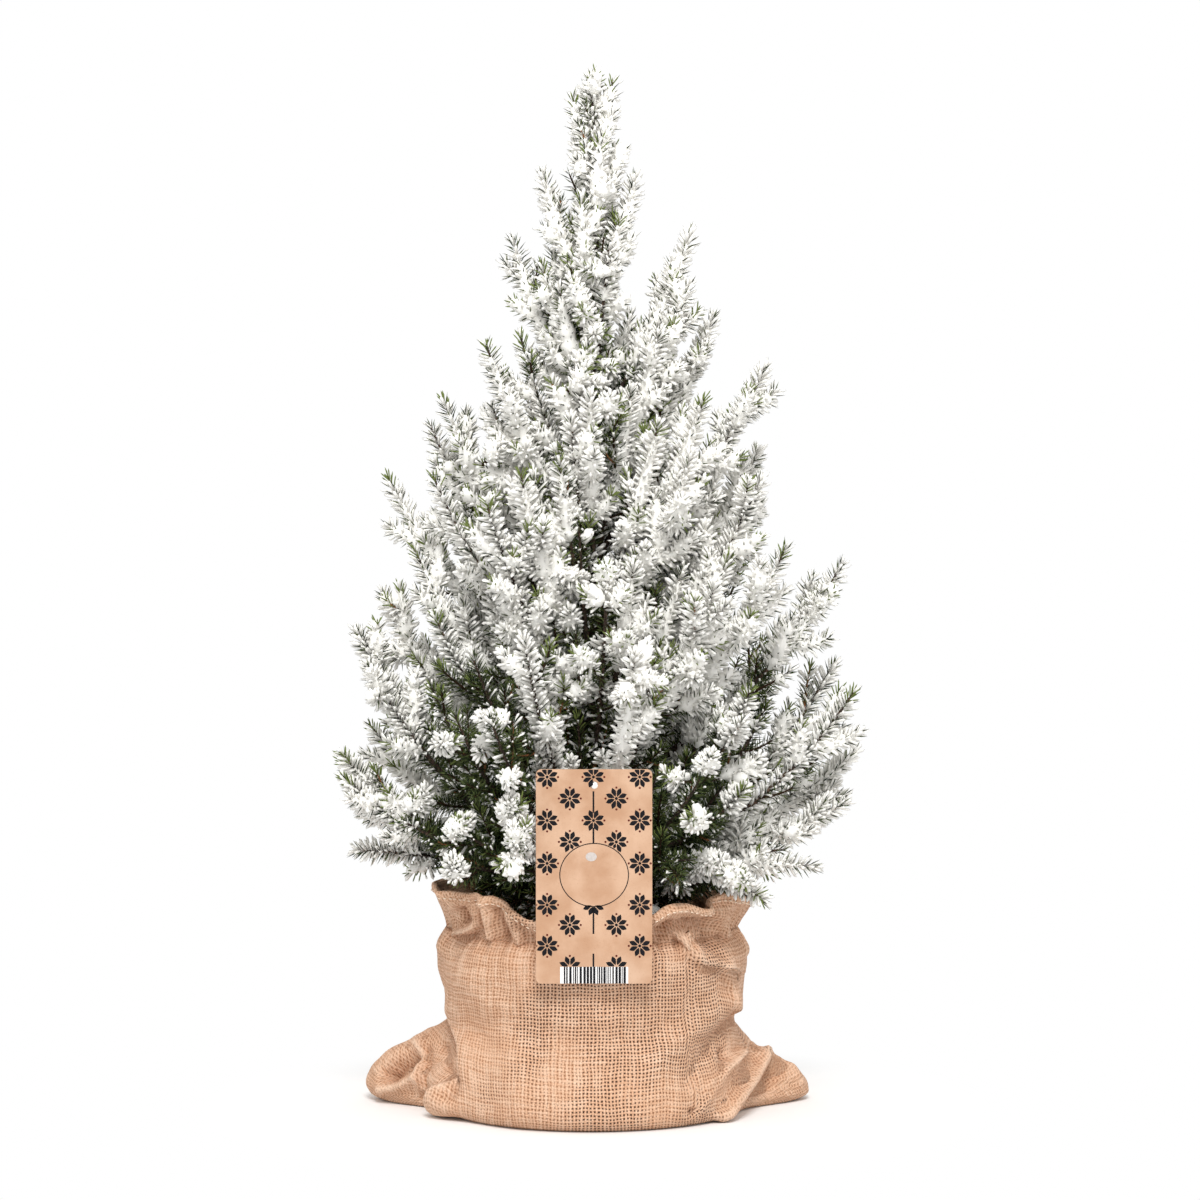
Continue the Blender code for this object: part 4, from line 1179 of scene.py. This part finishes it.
# the two side seams run down through the ears
FROM_BACK = (azimuth - 90) % 360
LEFT_SEAM = int(np.argmax(FROM_BACK >= EARS[0][0] - 90))
RIGHT_SEAM = int(np.argmax(FROM_BACK >= EARS[1][0] + 270))


def cloth_lengths(grid):
    """Length round each row from the back, and up each column from the neck."""
    steps = np.linalg.norm(np.roll(grid, -1, axis=1) - grid, axis=2)
    around = np.concatenate((np.zeros((len(grid), 1)), np.cumsum(steps, axis=1)), axis=1)
    rises = np.linalg.norm(np.diff(grid, axis=0), axis=2)
    upward = np.concatenate((np.zeros((1, SACK_COLUMNS)), np.cumsum(rises, axis=0)), axis=0)
    upward = upward - upward[NECK_ROW]
    return around, np.concatenate((upward, upward[:, :1]), axis=1)


smooth_round, smooth_up = cloth_lengths(sack_grid)
normals = surface_normals(sack_grid)
height = sack_grid[:, :, 2]
x_mm = sack_grid[:, :, 0] * 1000
z_mm = height * 1000
facing = np.clip(-normals[:, :, 1] * 3 + 0.5, 0, 1)
backing = np.clip(normals[:, :, 1] * 3 + 0.2, 0, 1)
lift = np.zeros(height.shape)
for fold, left, right, rounding, line in FOLDS:
    lift += facing * fold_height(x_mm, z_mm, fold, left, right, rounding, line)
    mirrored = tuple((-a * 0.94, b) for a, b in line)
    lift += 0.7 * backing * fold_height(x_mm, z_mm, fold, right, left, rounding, mirrored)
# fine gathers above and below the neck, and slack in the cloth
near_neck = np.exp(-(((height - NECK_HEIGHT) / np.where(height > NECK_HEIGHT, 0.012, 0.008)) ** 2))
gather = np.sin(52 * turn + 2 * np.sin(7 * turn)) + 0.6 * np.sin(83 * turn + 3 * np.sin(5 * turn))
lift += near_neck * gather[None, :] * 0.75
slack = np.zeros(height.shape)
for i in range(len(rows)):
    for j in range(SACK_COLUMNS):
        spot = Vector(sack_grid[i, j])
        wide = noise.noise(spot * 22) * 1.9
        crumple = 1 - abs(noise.noise(spot * 48 + Vector((3, 7, 1)))) * 3
        slack[i, j] = wide + crumple * 0.45 + noise.noise(spot * 130) * 0.35
lift += slack * np.clip(height / 0.02, 0.1, 1)
lift *= FOLD_STRENGTH
lift *= np.clip((height - 0.0006) / 0.005, 0, 1)
sack_grid = sack_grid + lift[:, :, None] * 0.001 * normals
sack_grid[:, :, 2] = np.maximum(sack_grid[:, :, 2], CLOTH_FLOOR)
# the root ball inside stops the folds from going any deeper
from_middle = np.hypot(sack_grid[:, :, 0], sack_grid[:, :, 1])
pushed = np.where(height > 0.006, np.maximum(1, BALL_STOP / np.maximum(from_middle, 0.001)), 1)
sack_grid[FLOOR_ROWS:, :, :2] *= pushed[FLOOR_ROWS:, :, None]
# threads keep their length, so that the weave slants and crowds beside each fold
folded_round, folded_up = cloth_lengths(sack_grid)
round_length = 0.5 * (smooth_round + folded_round)
up_length = 0.5 * (smooth_up + folded_up)
# the hem is the cloth's edge turned in and stitched: thicker by another layer
from_rim = rim[None, :] - height
hem = np.clip(1 - (from_rim - HEM_DROP) ** 4 / HEM_HALF**4, 0, 1) * (height > NECK_HEIGHT)
sack_grid = sack_grid + (HEM_LAYER * hem)[:, :, None] * normals
# the collar lies against the back of the card
by_card = (np.abs(sack_grid[:, :, 0]) < CARD_HALF) & (sack_grid[:, :, 2] > CARD_LOW)
depth = sack_grid[:, :, 1]
sack_grid[:, :, 1] = np.where(by_card, np.maximum(depth, CARD_BACK), depth)

# inner face of the cloth, from the rim down, in wider steps below the soil
normals = surface_normals(sack_grid)
last = len(rows) - 1
inner = [last] + list(range(last - 2, FLOOR_ROWS + BODY_ROWS, -2))
inner += list(range(FLOOR_ROWS + BODY_ROWS - 4, FLOOR_ROWS, -9)) + [FLOOR_ROWS + 1]
top = sack_grid[last] - normals[last] * 0.0016
top[:, 2] += 0.0012
shell = list(sack_grid) + [top]
shell_up = [up_length[i] for i in range(last + 1)] + [up_length[last] + 0.002]
shell_round = [round_length[i] for i in range(last + 1)] + [round_length[last]]
for i in inner:
    depth = CLOTH_THICKNESS + 0.0016 * hem[i]
    shell.append(sack_grid[i] - normals[i] * depth[:, None])
    shell_up.append(2 * up_length[last] + 0.004 - up_length[i])
    shell_round.append(round_length[i])

sack_shape = bmesh.new()
weave = sack_shape.loops.layers.uv.new("weave")
points = [[sack_shape.verts.new(spot) for spot in row] for row in shell]
for i in range(len(points) - 1):
    for j in range(SACK_COLUMNS):
        k = (j + 1) % SACK_COLUMNS
        face = sack_shape.faces.new((points[i][j], points[i][k], points[i + 1][k], points[i + 1][j]))
        face.smooth = True
        corners = ((i, j), (i, j + 1), (i + 1, j + 1), (i + 1, j))
        for loop, (row, column) in zip(face.loops, corners):
            start = 0.0
            if j >= RIGHT_SEAM:
                start = shell_round[row][-1]
            elif j >= LEFT_SEAM:
                start = shell_round[row][FRONT_COLUMN]
            loop[weave].uv = (shell_round[row][column] - start, shell_up[row][column])
for row, spot in ((0, (0, 0, CLOTH_FLOOR)), (len(points) - 1, (0, 0, 0.0022))):
    middle = sack_shape.verts.new(spot)
    for j in range(SACK_COLUMNS):
        k = (j + 1) % SACK_COLUMNS
        pair = (points[row][k], points[row][j]) if row == 0 else (points[row][j], points[row][k])
        face = sack_shape.faces.new((middle, *pair))
        for loop in face.loops:
            loop[weave].uv = (loop.vert.co.x, loop.vert.co.y)
# how deep each point lies in a fold, for the cloth's painted shade: darker where it lies sunk in a fold,
# and lighter on the ridges as a painted highlight
smoothed = lift.copy()
for _ in range(6):
    smoothed = (smoothed + np.roll(smoothed, 1, 1) + np.roll(smoothed, -1, 1)) / 3
    padded_rows = np.pad(smoothed, ((1, 1), (0, 0)), "edge")
    smoothed = (smoothed + padded_rows[:-2] + padded_rows[2:]) / 3
sunk = np.tanh((smoothed - lift) / 2.4)
for _ in range(2):
    sunk = (sunk + np.roll(sunk, 1, 1) + np.roll(sunk, -1, 1)) / 3
# the inner face of the cloth takes a fixed painted shade
sunk_rows = [sunk[i] for i in range(last + 1)] + [sunk[last]] + [0.6 + 0 * sunk[i] for i in inner]
sack_cloth = made_object("sack_cloth", sack_shape)
painted_fold_shade = sack_cloth.data.attributes.new("painted_fold_shade", "FLOAT", "POINT")
painted_fold_shade.data.foreach_set("value", np.concatenate(sunk_rows + [np.zeros(2)]).astype(np.float32))

WEAVE_PITCH = 0.0022
jute = Finish("jute_weave", Roughness=0.92)
flat = jute.node("ShaderNodeUVMap", {"uv_map": "weave"})
across, along, _ = jute.parts(flat)
wander = jute.noise(flat, 45.0, 2.0)
wander_up = jute.noise(flat, 38.0, 2.0)
jitter = jute.noise(flat, 300.0, 1.0)
warp_turn = (across + (wander - 0.5) * 0.0036 + (jitter - 0.5) * 0.0011) * (math.pi / WEAVE_PITCH)
weft_turn = (along + (wander_up - 0.5) * 0.0026 + (jitter - 0.5) * 0.0011) * (math.pi / WEAVE_PITCH)
warp_wave = jute.sine(warp_turn)
weft_wave = jute.sine(weft_turn)
over = warp_wave * weft_wave * 0.5 + 0.5
warp = abs(warp_wave)
weft = abs(weft_wave)
thread_top = jute.greater(warp * (0.60 + 0.40 * over), weft * (0.96 - 0.44 * over))
# threads run thick and thin, and the weave opens where the cloth is pulled flat
warp_slub = jute.noise(jute.join(across * 430.0, along * 30.0), 1.0, 2.0)
weft_slub = jute.noise(jute.join(across * 45.0, along * 430.0, 5.0), 1.0, 2.0)
place = jute.object_place()
sideways, _, upward = jute.parts(place)
collar_share = jute.ease(upward, 0.090, 0.112)
off_middle = (sideways - 0.012) * 13.0
pulled = jute.noise(flat, 17.0, 2.0) - off_middle * off_middle * 0.22 - collar_share * 0.10
pulled = pulled - jute.ease(upward, 0.070, 0.100) * 0.06
openness = jute.ease(pulled, 0.22, 0.46)
gap_size = 0.24 + 0.46 * openness
gap_edge = jute.greater(warp * (0.6 + 0.8 * warp_slub), weft * (0.6 + 0.8 * weft_slub)) / gap_size
gap = (1.0 - jute.ease(gap_edge, 0.62, 1.15)) * (0.35 + 0.65 * openness)
stain = jute.noise(place, 28.0, 3.0)
fibre = jute.noise(place, 1500.0, 2.0)
# painted shade and highlight on the threads: darker where a thread dips under its neighbour, lighter on its
# crown, and lighter again along its thick stretches
thread = jute.blend(jute.ease(thread_top, 0.35, 0.95), (0.36, 0.17, 0.080), (0.72, 0.45, 0.30))
thread = jute.blend(jute.ease(warp_slub + weft_slub, 0.85, 1.25) * 0.6, thread, (0.83, 0.59, 0.43))
thread = jute.blend(jute.ease(stain, 0.35, 0.75) * 0.30, thread, (0.60, 0.33, 0.19))
thread = jute.blend(jute.ease(fibre, 0.42, 0.68) * 0.40, thread, (0.33, 0.16, 0.080))
# painted shade darkens the cloth where it lies sunk in a fold, and a painted highlight lightens it on the
# raised ridges
deep = jute.node("ShaderNodeAttribute", {"attribute_name": "painted_fold_shade"}, out=2)
thread = jute.blend(jute.ease(deep, 0.0, 1.0) * 0.60, thread, (0.27, 0.125, 0.062))
thread = jute.blend(jute.ease(deep, 0.0, -0.9) * 0.45, thread, (0.88, 0.66, 0.50))
# the holes in the weave are painted near-black brown: the shade inside and the dark soil seen through them,
# paler where the weave closes
jute.set("Base Color", jute.blend(gap, thread, (0.050, 0.020, 0.010)))
jute.bump(thread_top * (1.0 - gap) + fibre * 0.25, 0.75, 0.0008)
sack_cloth.data.materials.append(jute.material)
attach(sack_cloth, "root")
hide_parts("sack")

# ================================================================ hem stitches
# Pale thread that holds the turned hem of the collar: short straight stitches a few
# millimetres below the rim, all the way round.
STITCH_DROP = 0.0036
STITCH_PITCH = 0.0041
STITCH_LENGTH = 0.0024
STITCH_RADIUS = 0.00036
stitch_line = []
stitch_out = []
for j in range(SACK_COLUMNS):
    share = 1 - STITCH_DROP / (rim[j] - NECK_HEIGHT)
    row = NECK_ROW + share * COLLAR_ROWS
    low = int(row)
    blend = row - low
    stitch_out.append(normals[low, j])
    spot = (1 - blend) * sack_grid[low, j] + blend * sack_grid[min(low + 1, last), j]
    stitch_line.append(spot + 0.0003 * normals[low, j])
stitch_line = np.array(stitch_line + stitch_line[:1])
stitch_out = np.array(stitch_out + stitch_out[:1])
run = np.concatenate(((0,), np.cumsum(np.linalg.norm(np.diff(stitch_line, axis=0), axis=1))))
stitch_at = np.arange(0, run[-1] - STITCH_PITCH, STITCH_PITCH)
stitch_at = stitch_at + dice.uniform(-0.0004, 0.0004, len(stitch_at))
starts = np.stack([np.interp(stitch_at, run, stitch_line[:, i]) for i in range(3)], 1)
stops = np.stack([np.interp(stitch_at + STITCH_LENGTH, run, stitch_line[:, i]) for i in range(3)], 1)
outs = np.stack([np.interp(stitch_at, run, stitch_out[:, i]) for i in range(3)], 1)
thread_finish = Finish("hem_thread", Roughness=0.8)
strand = thread_finish.noise(thread_finish.object_place(), 2500.0)
pale = thread_finish.blend(thread_finish.ease(strand, 0.35, 0.65), (0.70, 0.50, 0.35), (0.88, 0.74, 0.60))
thread_finish.set("Base Color", pale)
stitch = spindle("stitch", ((0.10, 0.85), (0.5, 1.15), (0.90, 0.85)), 6, 0)
lengths = np.linalg.norm(stops - starts, axis=1)
widths = np.full(len(starts), STITCH_RADIUS)
set_sprays(
    "hem_stitches", stitch, thread_finish.material, starts,
    unit(stops - starts + dice.normal(0, 0.0002, starts.shape)), unit(outs),
    np.stack((widths, widths, lengths), 1), ("sack",),
)
bpy.data.objects.remove(stitch, do_unlink=True)

# ================================================================ label
# A stiff kraft-paper card with rounded corners, hung on a bare twig by its punched hole. It
# is printed in black and dark red with rows of eight-petalled stars and a bare ring.
kraft = Finish("kraft_paper", Roughness=0.8)
place = kraft.object_place()
blotch = kraft.noise(place, 55.0, 4.0)
cloud = kraft.noise(place, 17.0, 2.0)
fleck = kraft.noise(place, 900.0, 2.0)
paper = kraft.blend(kraft.ease(blotch, 0.30, 0.72), (0.47, 0.265, 0.155), (0.60, 0.385, 0.255))
paper = kraft.blend(kraft.ease(cloud, 0.52, 0.75) * 0.55, paper, (0.66, 0.46, 0.33))
paper = kraft.blend(kraft.ease(fleck, 0.60, 0.75) * 0.35, paper, (0.38, 0.20, 0.11))
kraft.set("Base Color", paper)
kraft.bump(blotch * 0.6 + fleck * 0.4, 0.25, 0.0002)
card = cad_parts["label"]
for slot in card.material_slots:
    slot.material = kraft.material

# print: star centres, across and up, in millimetres
STAR_COLUMNS = (-26.25, -12.83, 1.12, 14.69, 28.49)
STAR_ROWS = (
    (211.1, (0, 2, 4)), (198.4, (1, 3)), (185.4, (0, 2, 4)), (172.7, (1, 3)), (160.0, (0, 4)),
    (135.4, (0, 2, 4)), (123.5, (1, 3)), (111.1, (0, 4)), (98.7, (1, 3)),
)
LAST_STARS = 98.7  # the height of the lowest row, of which the bars leave the upper half
HALF_STARS = 135.4  # and of the row whose middle star hangs from the ring
PETAL = ((1.1, 0.0), (2.5, 0.86), (4.3, 1.44), (5.5, 0.94), (6.7, 0.0))
PETAL_REACH = 5.6
SHORTEST_PETAL = 0.4
BUTTON_RADIUS = 0.95  # the dot in a star's middle
DOT_REACH = 6.45  # from a star's middle to the red dots round it
DOT_RADIUS = 0.68
RING_MIDDLE = (1.53, 153.1)
RING_HALF = (20.3, 18.7)
PLUMB_LINE = ((202.7, 189.9), (181.1, 171.8), (134.0, 118.2), (106.5, 98.7))
BARS_LEFT = -18.6
BARS_RIGHT = 21.7
BARS_TOP = 98.7
NARROW = 0.5  # a bar's or a gap's width
MIDDLING = 0.9
WIDE = 1.4
HOLE_MIDDLE = (1.5, 206.2)
HOLE_MARGIN = 2.9
RING_CORNERS = 96
RING_LINE = 0.28  # half the ring line's width
CARD_LEFT = LABEL_LOW.x * 1000 + 0.25
CARD_RIGHT = LABEL_HIGH.x * 1000 - 0.25
CARD_TOP = LABEL_HIGH.z * 1000 - 0.25
CARD_BOTTOM = LABEL_LOW.z * 1000 + 0.1
FACE_OF_CARD = LABEL_LOW.y - 0.00006


def print_piece(name, colour, shapes, proud):
    """Flat ink shapes on the front of the card, each an outline given anticlockwise."""
    ink_shape = bmesh.new()
    for outline in shapes:
        corners = []
        for x, z in outline:
            x = min(max(x, CARD_LEFT), CARD_RIGHT) * 0.001
            z = min(max(z, CARD_BOTTOM), CARD_TOP) * 0.001
            corners.append(ink_shape.verts.new((x, FACE_OF_CARD - proud, z)))
        ink_shape.faces.new(corners)
    bmesh.ops.triangulate(ink_shape, faces=ink_shape.faces)
    piece = made_object(name, ink_shape, finish=colour)
    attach(piece, "root")


def ink(name, thin, full):
    """Printing ink that lies a little unevenly on the paper."""
    made = Finish(name, Roughness=0.8, Specular_IOR_Level=0.1)
    lay = made.ease(made.noise(made.object_place(), 700.0), 0.3, 0.7)
    made.set("Base Color", made.blend(lay, thin, full))
    return made.material


def disc(x, z, half_width, half_height, corners):
    angles = [math.tau * i / corners for i in range(corners)]
    return [(x + half_width * math.cos(a), z + half_height * math.sin(a)) for a in angles]


def strip(left, right, bottom, top):
    return [(left, bottom), (right, bottom), (right, top), (left, top)]


def in_ring(x, z, grown):
    """True inside the ring or near the hole, where a petal is shortened until its tip is out."""
    ring = math.hypot((x - RING_MIDDLE[0]) / RING_HALF[0], (z - RING_MIDDLE[1]) / RING_HALF[1])
    hole = math.hypot(x - HOLE_MIDDLE[0], z - HOLE_MIDDLE[1])
    return ring < grown or hole < HOLE_MARGIN


def petal(x, z, ahead, length):
    """A petal's outline from a star's middle towards ahead, at a share of its full length."""
    foot = PETAL[0][0]
    narrow = 0.3 + 0.7 * length
    side = [(foot + (along - foot) * length, across * narrow) for along, across in PETAL]
    side += [(along, -across) for along, across in side[-2:0:-1]]
    outline = []
    for along, across in side[::-1]:
        sideways = x + along * ahead[0] - across * ahead[1]
        outline.append((sideways, z + along * ahead[1] + across * ahead[0]))
    return outline


black_shapes = []
red_shapes = []
for z, columns_used in STAR_ROWS:
    for column in columns_used:
        x = STAR_COLUMNS[column]
        for number in range(8):
            angle = math.radians(22.5 + 45 * number)
            ahead = (math.cos(angle), math.sin(angle))
            length = 1.0
            while length > SHORTEST_PETAL:
                tip = 0.75 + PETAL_REACH * length
                if not in_ring(x + tip * ahead[0], z + tip * ahead[1], 1.03):
                    break
                length -= 0.05
            below_last = z == LAST_STARS and ahead[1] < 0
            above_half = z == HALF_STARS and column == 2 and ahead[1] > 0
            if length > SHORTEST_PETAL and not below_last and not above_half:
                black_shapes.append(petal(x, z, ahead, length))
        if not in_ring(x, z, 1.0) and z != LAST_STARS:
            black_shapes.append(disc(x, z, BUTTON_RADIUS, BUTTON_RADIUS, 8))
        for right, up in ((1, 0), (0, 1), (-1, 0), (0, -1)):
            dot_x = x + DOT_REACH * right
            dot_z = z + DOT_REACH * up
            above_bars = dot_z > 99 or z > 99
            beside_line = column != 2 or right != 0
            if not in_ring(dot_x, dot_z, 1.04) and above_bars and beside_line and dot_z < CARD_TOP:
                red_shapes.append(disc(dot_x, dot_z, DOT_RADIUS, DOT_RADIUS, 8))
for top, bottom in PLUMB_LINE:
    black_shapes.append(strip(0.60, 1.64, bottom, top))
outer, inner = [
    disc(*RING_MIDDLE, *[half + step for half in RING_HALF], RING_CORNERS)
    for step in (RING_LINE, -RING_LINE)
]
for i in range(RING_CORNERS):
    j = (i + 1) % RING_CORNERS
    black_shapes.append([outer[i], outer[j], inner[j], inner[i]])
white_shapes = [strip(BARS_LEFT, BARS_RIGHT, CARD_BOTTOM, BARS_TOP)]
shine_shapes = [disc(-0.2, 163.9, 3.3, 2.7, 24)]
bar_shapes = []
bar = BARS_LEFT + 2.2
while bar < BARS_RIGHT - 2.0:
    wide = float(dice.choice((NARROW, NARROW, MIDDLING, WIDE)))
    bar_shapes.append(strip(bar, min(bar + wide, BARS_RIGHT - 0.8), CARD_BOTTOM, BARS_TOP))
    bar += wide + float(dice.choice((NARROW, NARROW, MIDDLING)))
# each print's ink, its colour where it lies thin and where full, shapes, how proud of the card
PRINTS = (
    ("print_black", "ink_black", (0.014, 0.013, 0.015), (0.008, 0.008, 0.010), black_shapes, 0.0),
    ("print_red", "ink_red", (0.12, 0.022, 0.014), (0.085, 0.016, 0.010), red_shapes, 0.0),
    ("print_white", "ink_white", (0.80, 0.78, 0.76), (0.86, 0.85, 0.84), white_shapes, 0.00004),
    ("print_shine", "ink_pale", (0.50, 0.45, 0.42), (0.56, 0.51, 0.48), shine_shapes, 0.0),
    ("print_bars", "ink_bars", (0.014, 0.014, 0.017), (0.008, 0.008, 0.011), bar_shapes, 0.00008),
)
for name, ink_name, thin, full, shapes, proud in PRINTS:
    print_piece(name, ink(ink_name, thin, full), shapes, proud)

# ================================================================ floor and light
# A pale studio sweep under soft light: the floor fades into the white surroundings.
HORIZON_WHITE = 0.22  # height of a direction, up to which the surroundings stay white
OVERHEAD_GREY = 0.36
PATCH_OF_FLOOR = (0.125, 0.25)  # shadows fade out between these distances from the sack's middle
FLOOR_SIZE = 8
world = bpy.data.worlds.new("studio")
world.use_nodes = True
sky = world.node_tree
direction = add(sky, "ShaderNodeTexCoord").outputs["Generated"]
upward = add(sky, "ShaderNodeSeparateXYZ", None, direction).outputs["Z"]
ramp = add(sky, "ShaderNodeValToRGB", None, upward)
horizon, overhead = ramp.color_ramp.elements
horizon.position = HORIZON_WHITE
horizon.color = (1, 1, 1, 1)
overhead.position = OVERHEAD_GREY
overhead.color = (0.84, 0.83, 0.81, 1)
background = sky.nodes["Background"]
sky.links.new(ramp.outputs["Color"], background.inputs["Color"])
background.inputs["Strength"].default_value = 1.0
bpy.context.scene.world = world
bpy.context.scene.view_settings.view_transform = "Standard"

paint = Finish("floor", Base_Color=(0.87, 0.87, 0.87, 1), Roughness=1.0, Specular_IOR_Level=0.0)
spread = paint.node("ShaderNodeVectorMath", {"operation": "LENGTH"}, paint.object_place(), out=1)
fade = paint.ease(spread, *PATCH_OF_FLOOR)
glow = paint.node("ShaderNodeEmission", Color=(1, 1, 1, 1))
both = paint.node("ShaderNodeMixShader", None, fade, paint.shader.outputs[0], glow)
paint.tree.links.new(both.socket, paint.tree.nodes["Material Output"].inputs["Surface"])
floor_mesh = bpy.data.meshes.new("floor")
floor_corners = [(FLOOR_SIZE * x, FLOOR_SIZE * y, 0) for x, y in ((-1, -1), (1, -1), (1, 1), (-1, 1))]
floor_mesh.from_pydata(floor_corners, [], [(0, 1, 2, 3)])
floor_mesh.materials.append(paint.material)
floor = put("floor", floor_mesh)


def soft_light(name, place, aim, size, power):
    light = bpy.data.lights.new(name, "AREA")
    light.shape = "DISK"
    light.size = size
    light.energy = power
    lamp = put(name, light)
    lamp.location = place
    lamp.rotation_euler = (Vector(aim) - Vector(place)).to_track_quat("-Z", "Y").to_euler()


soft_light("key_light", (0.04, -2.2, 2.3), (0, 0, 0.3), 1.1, 69)
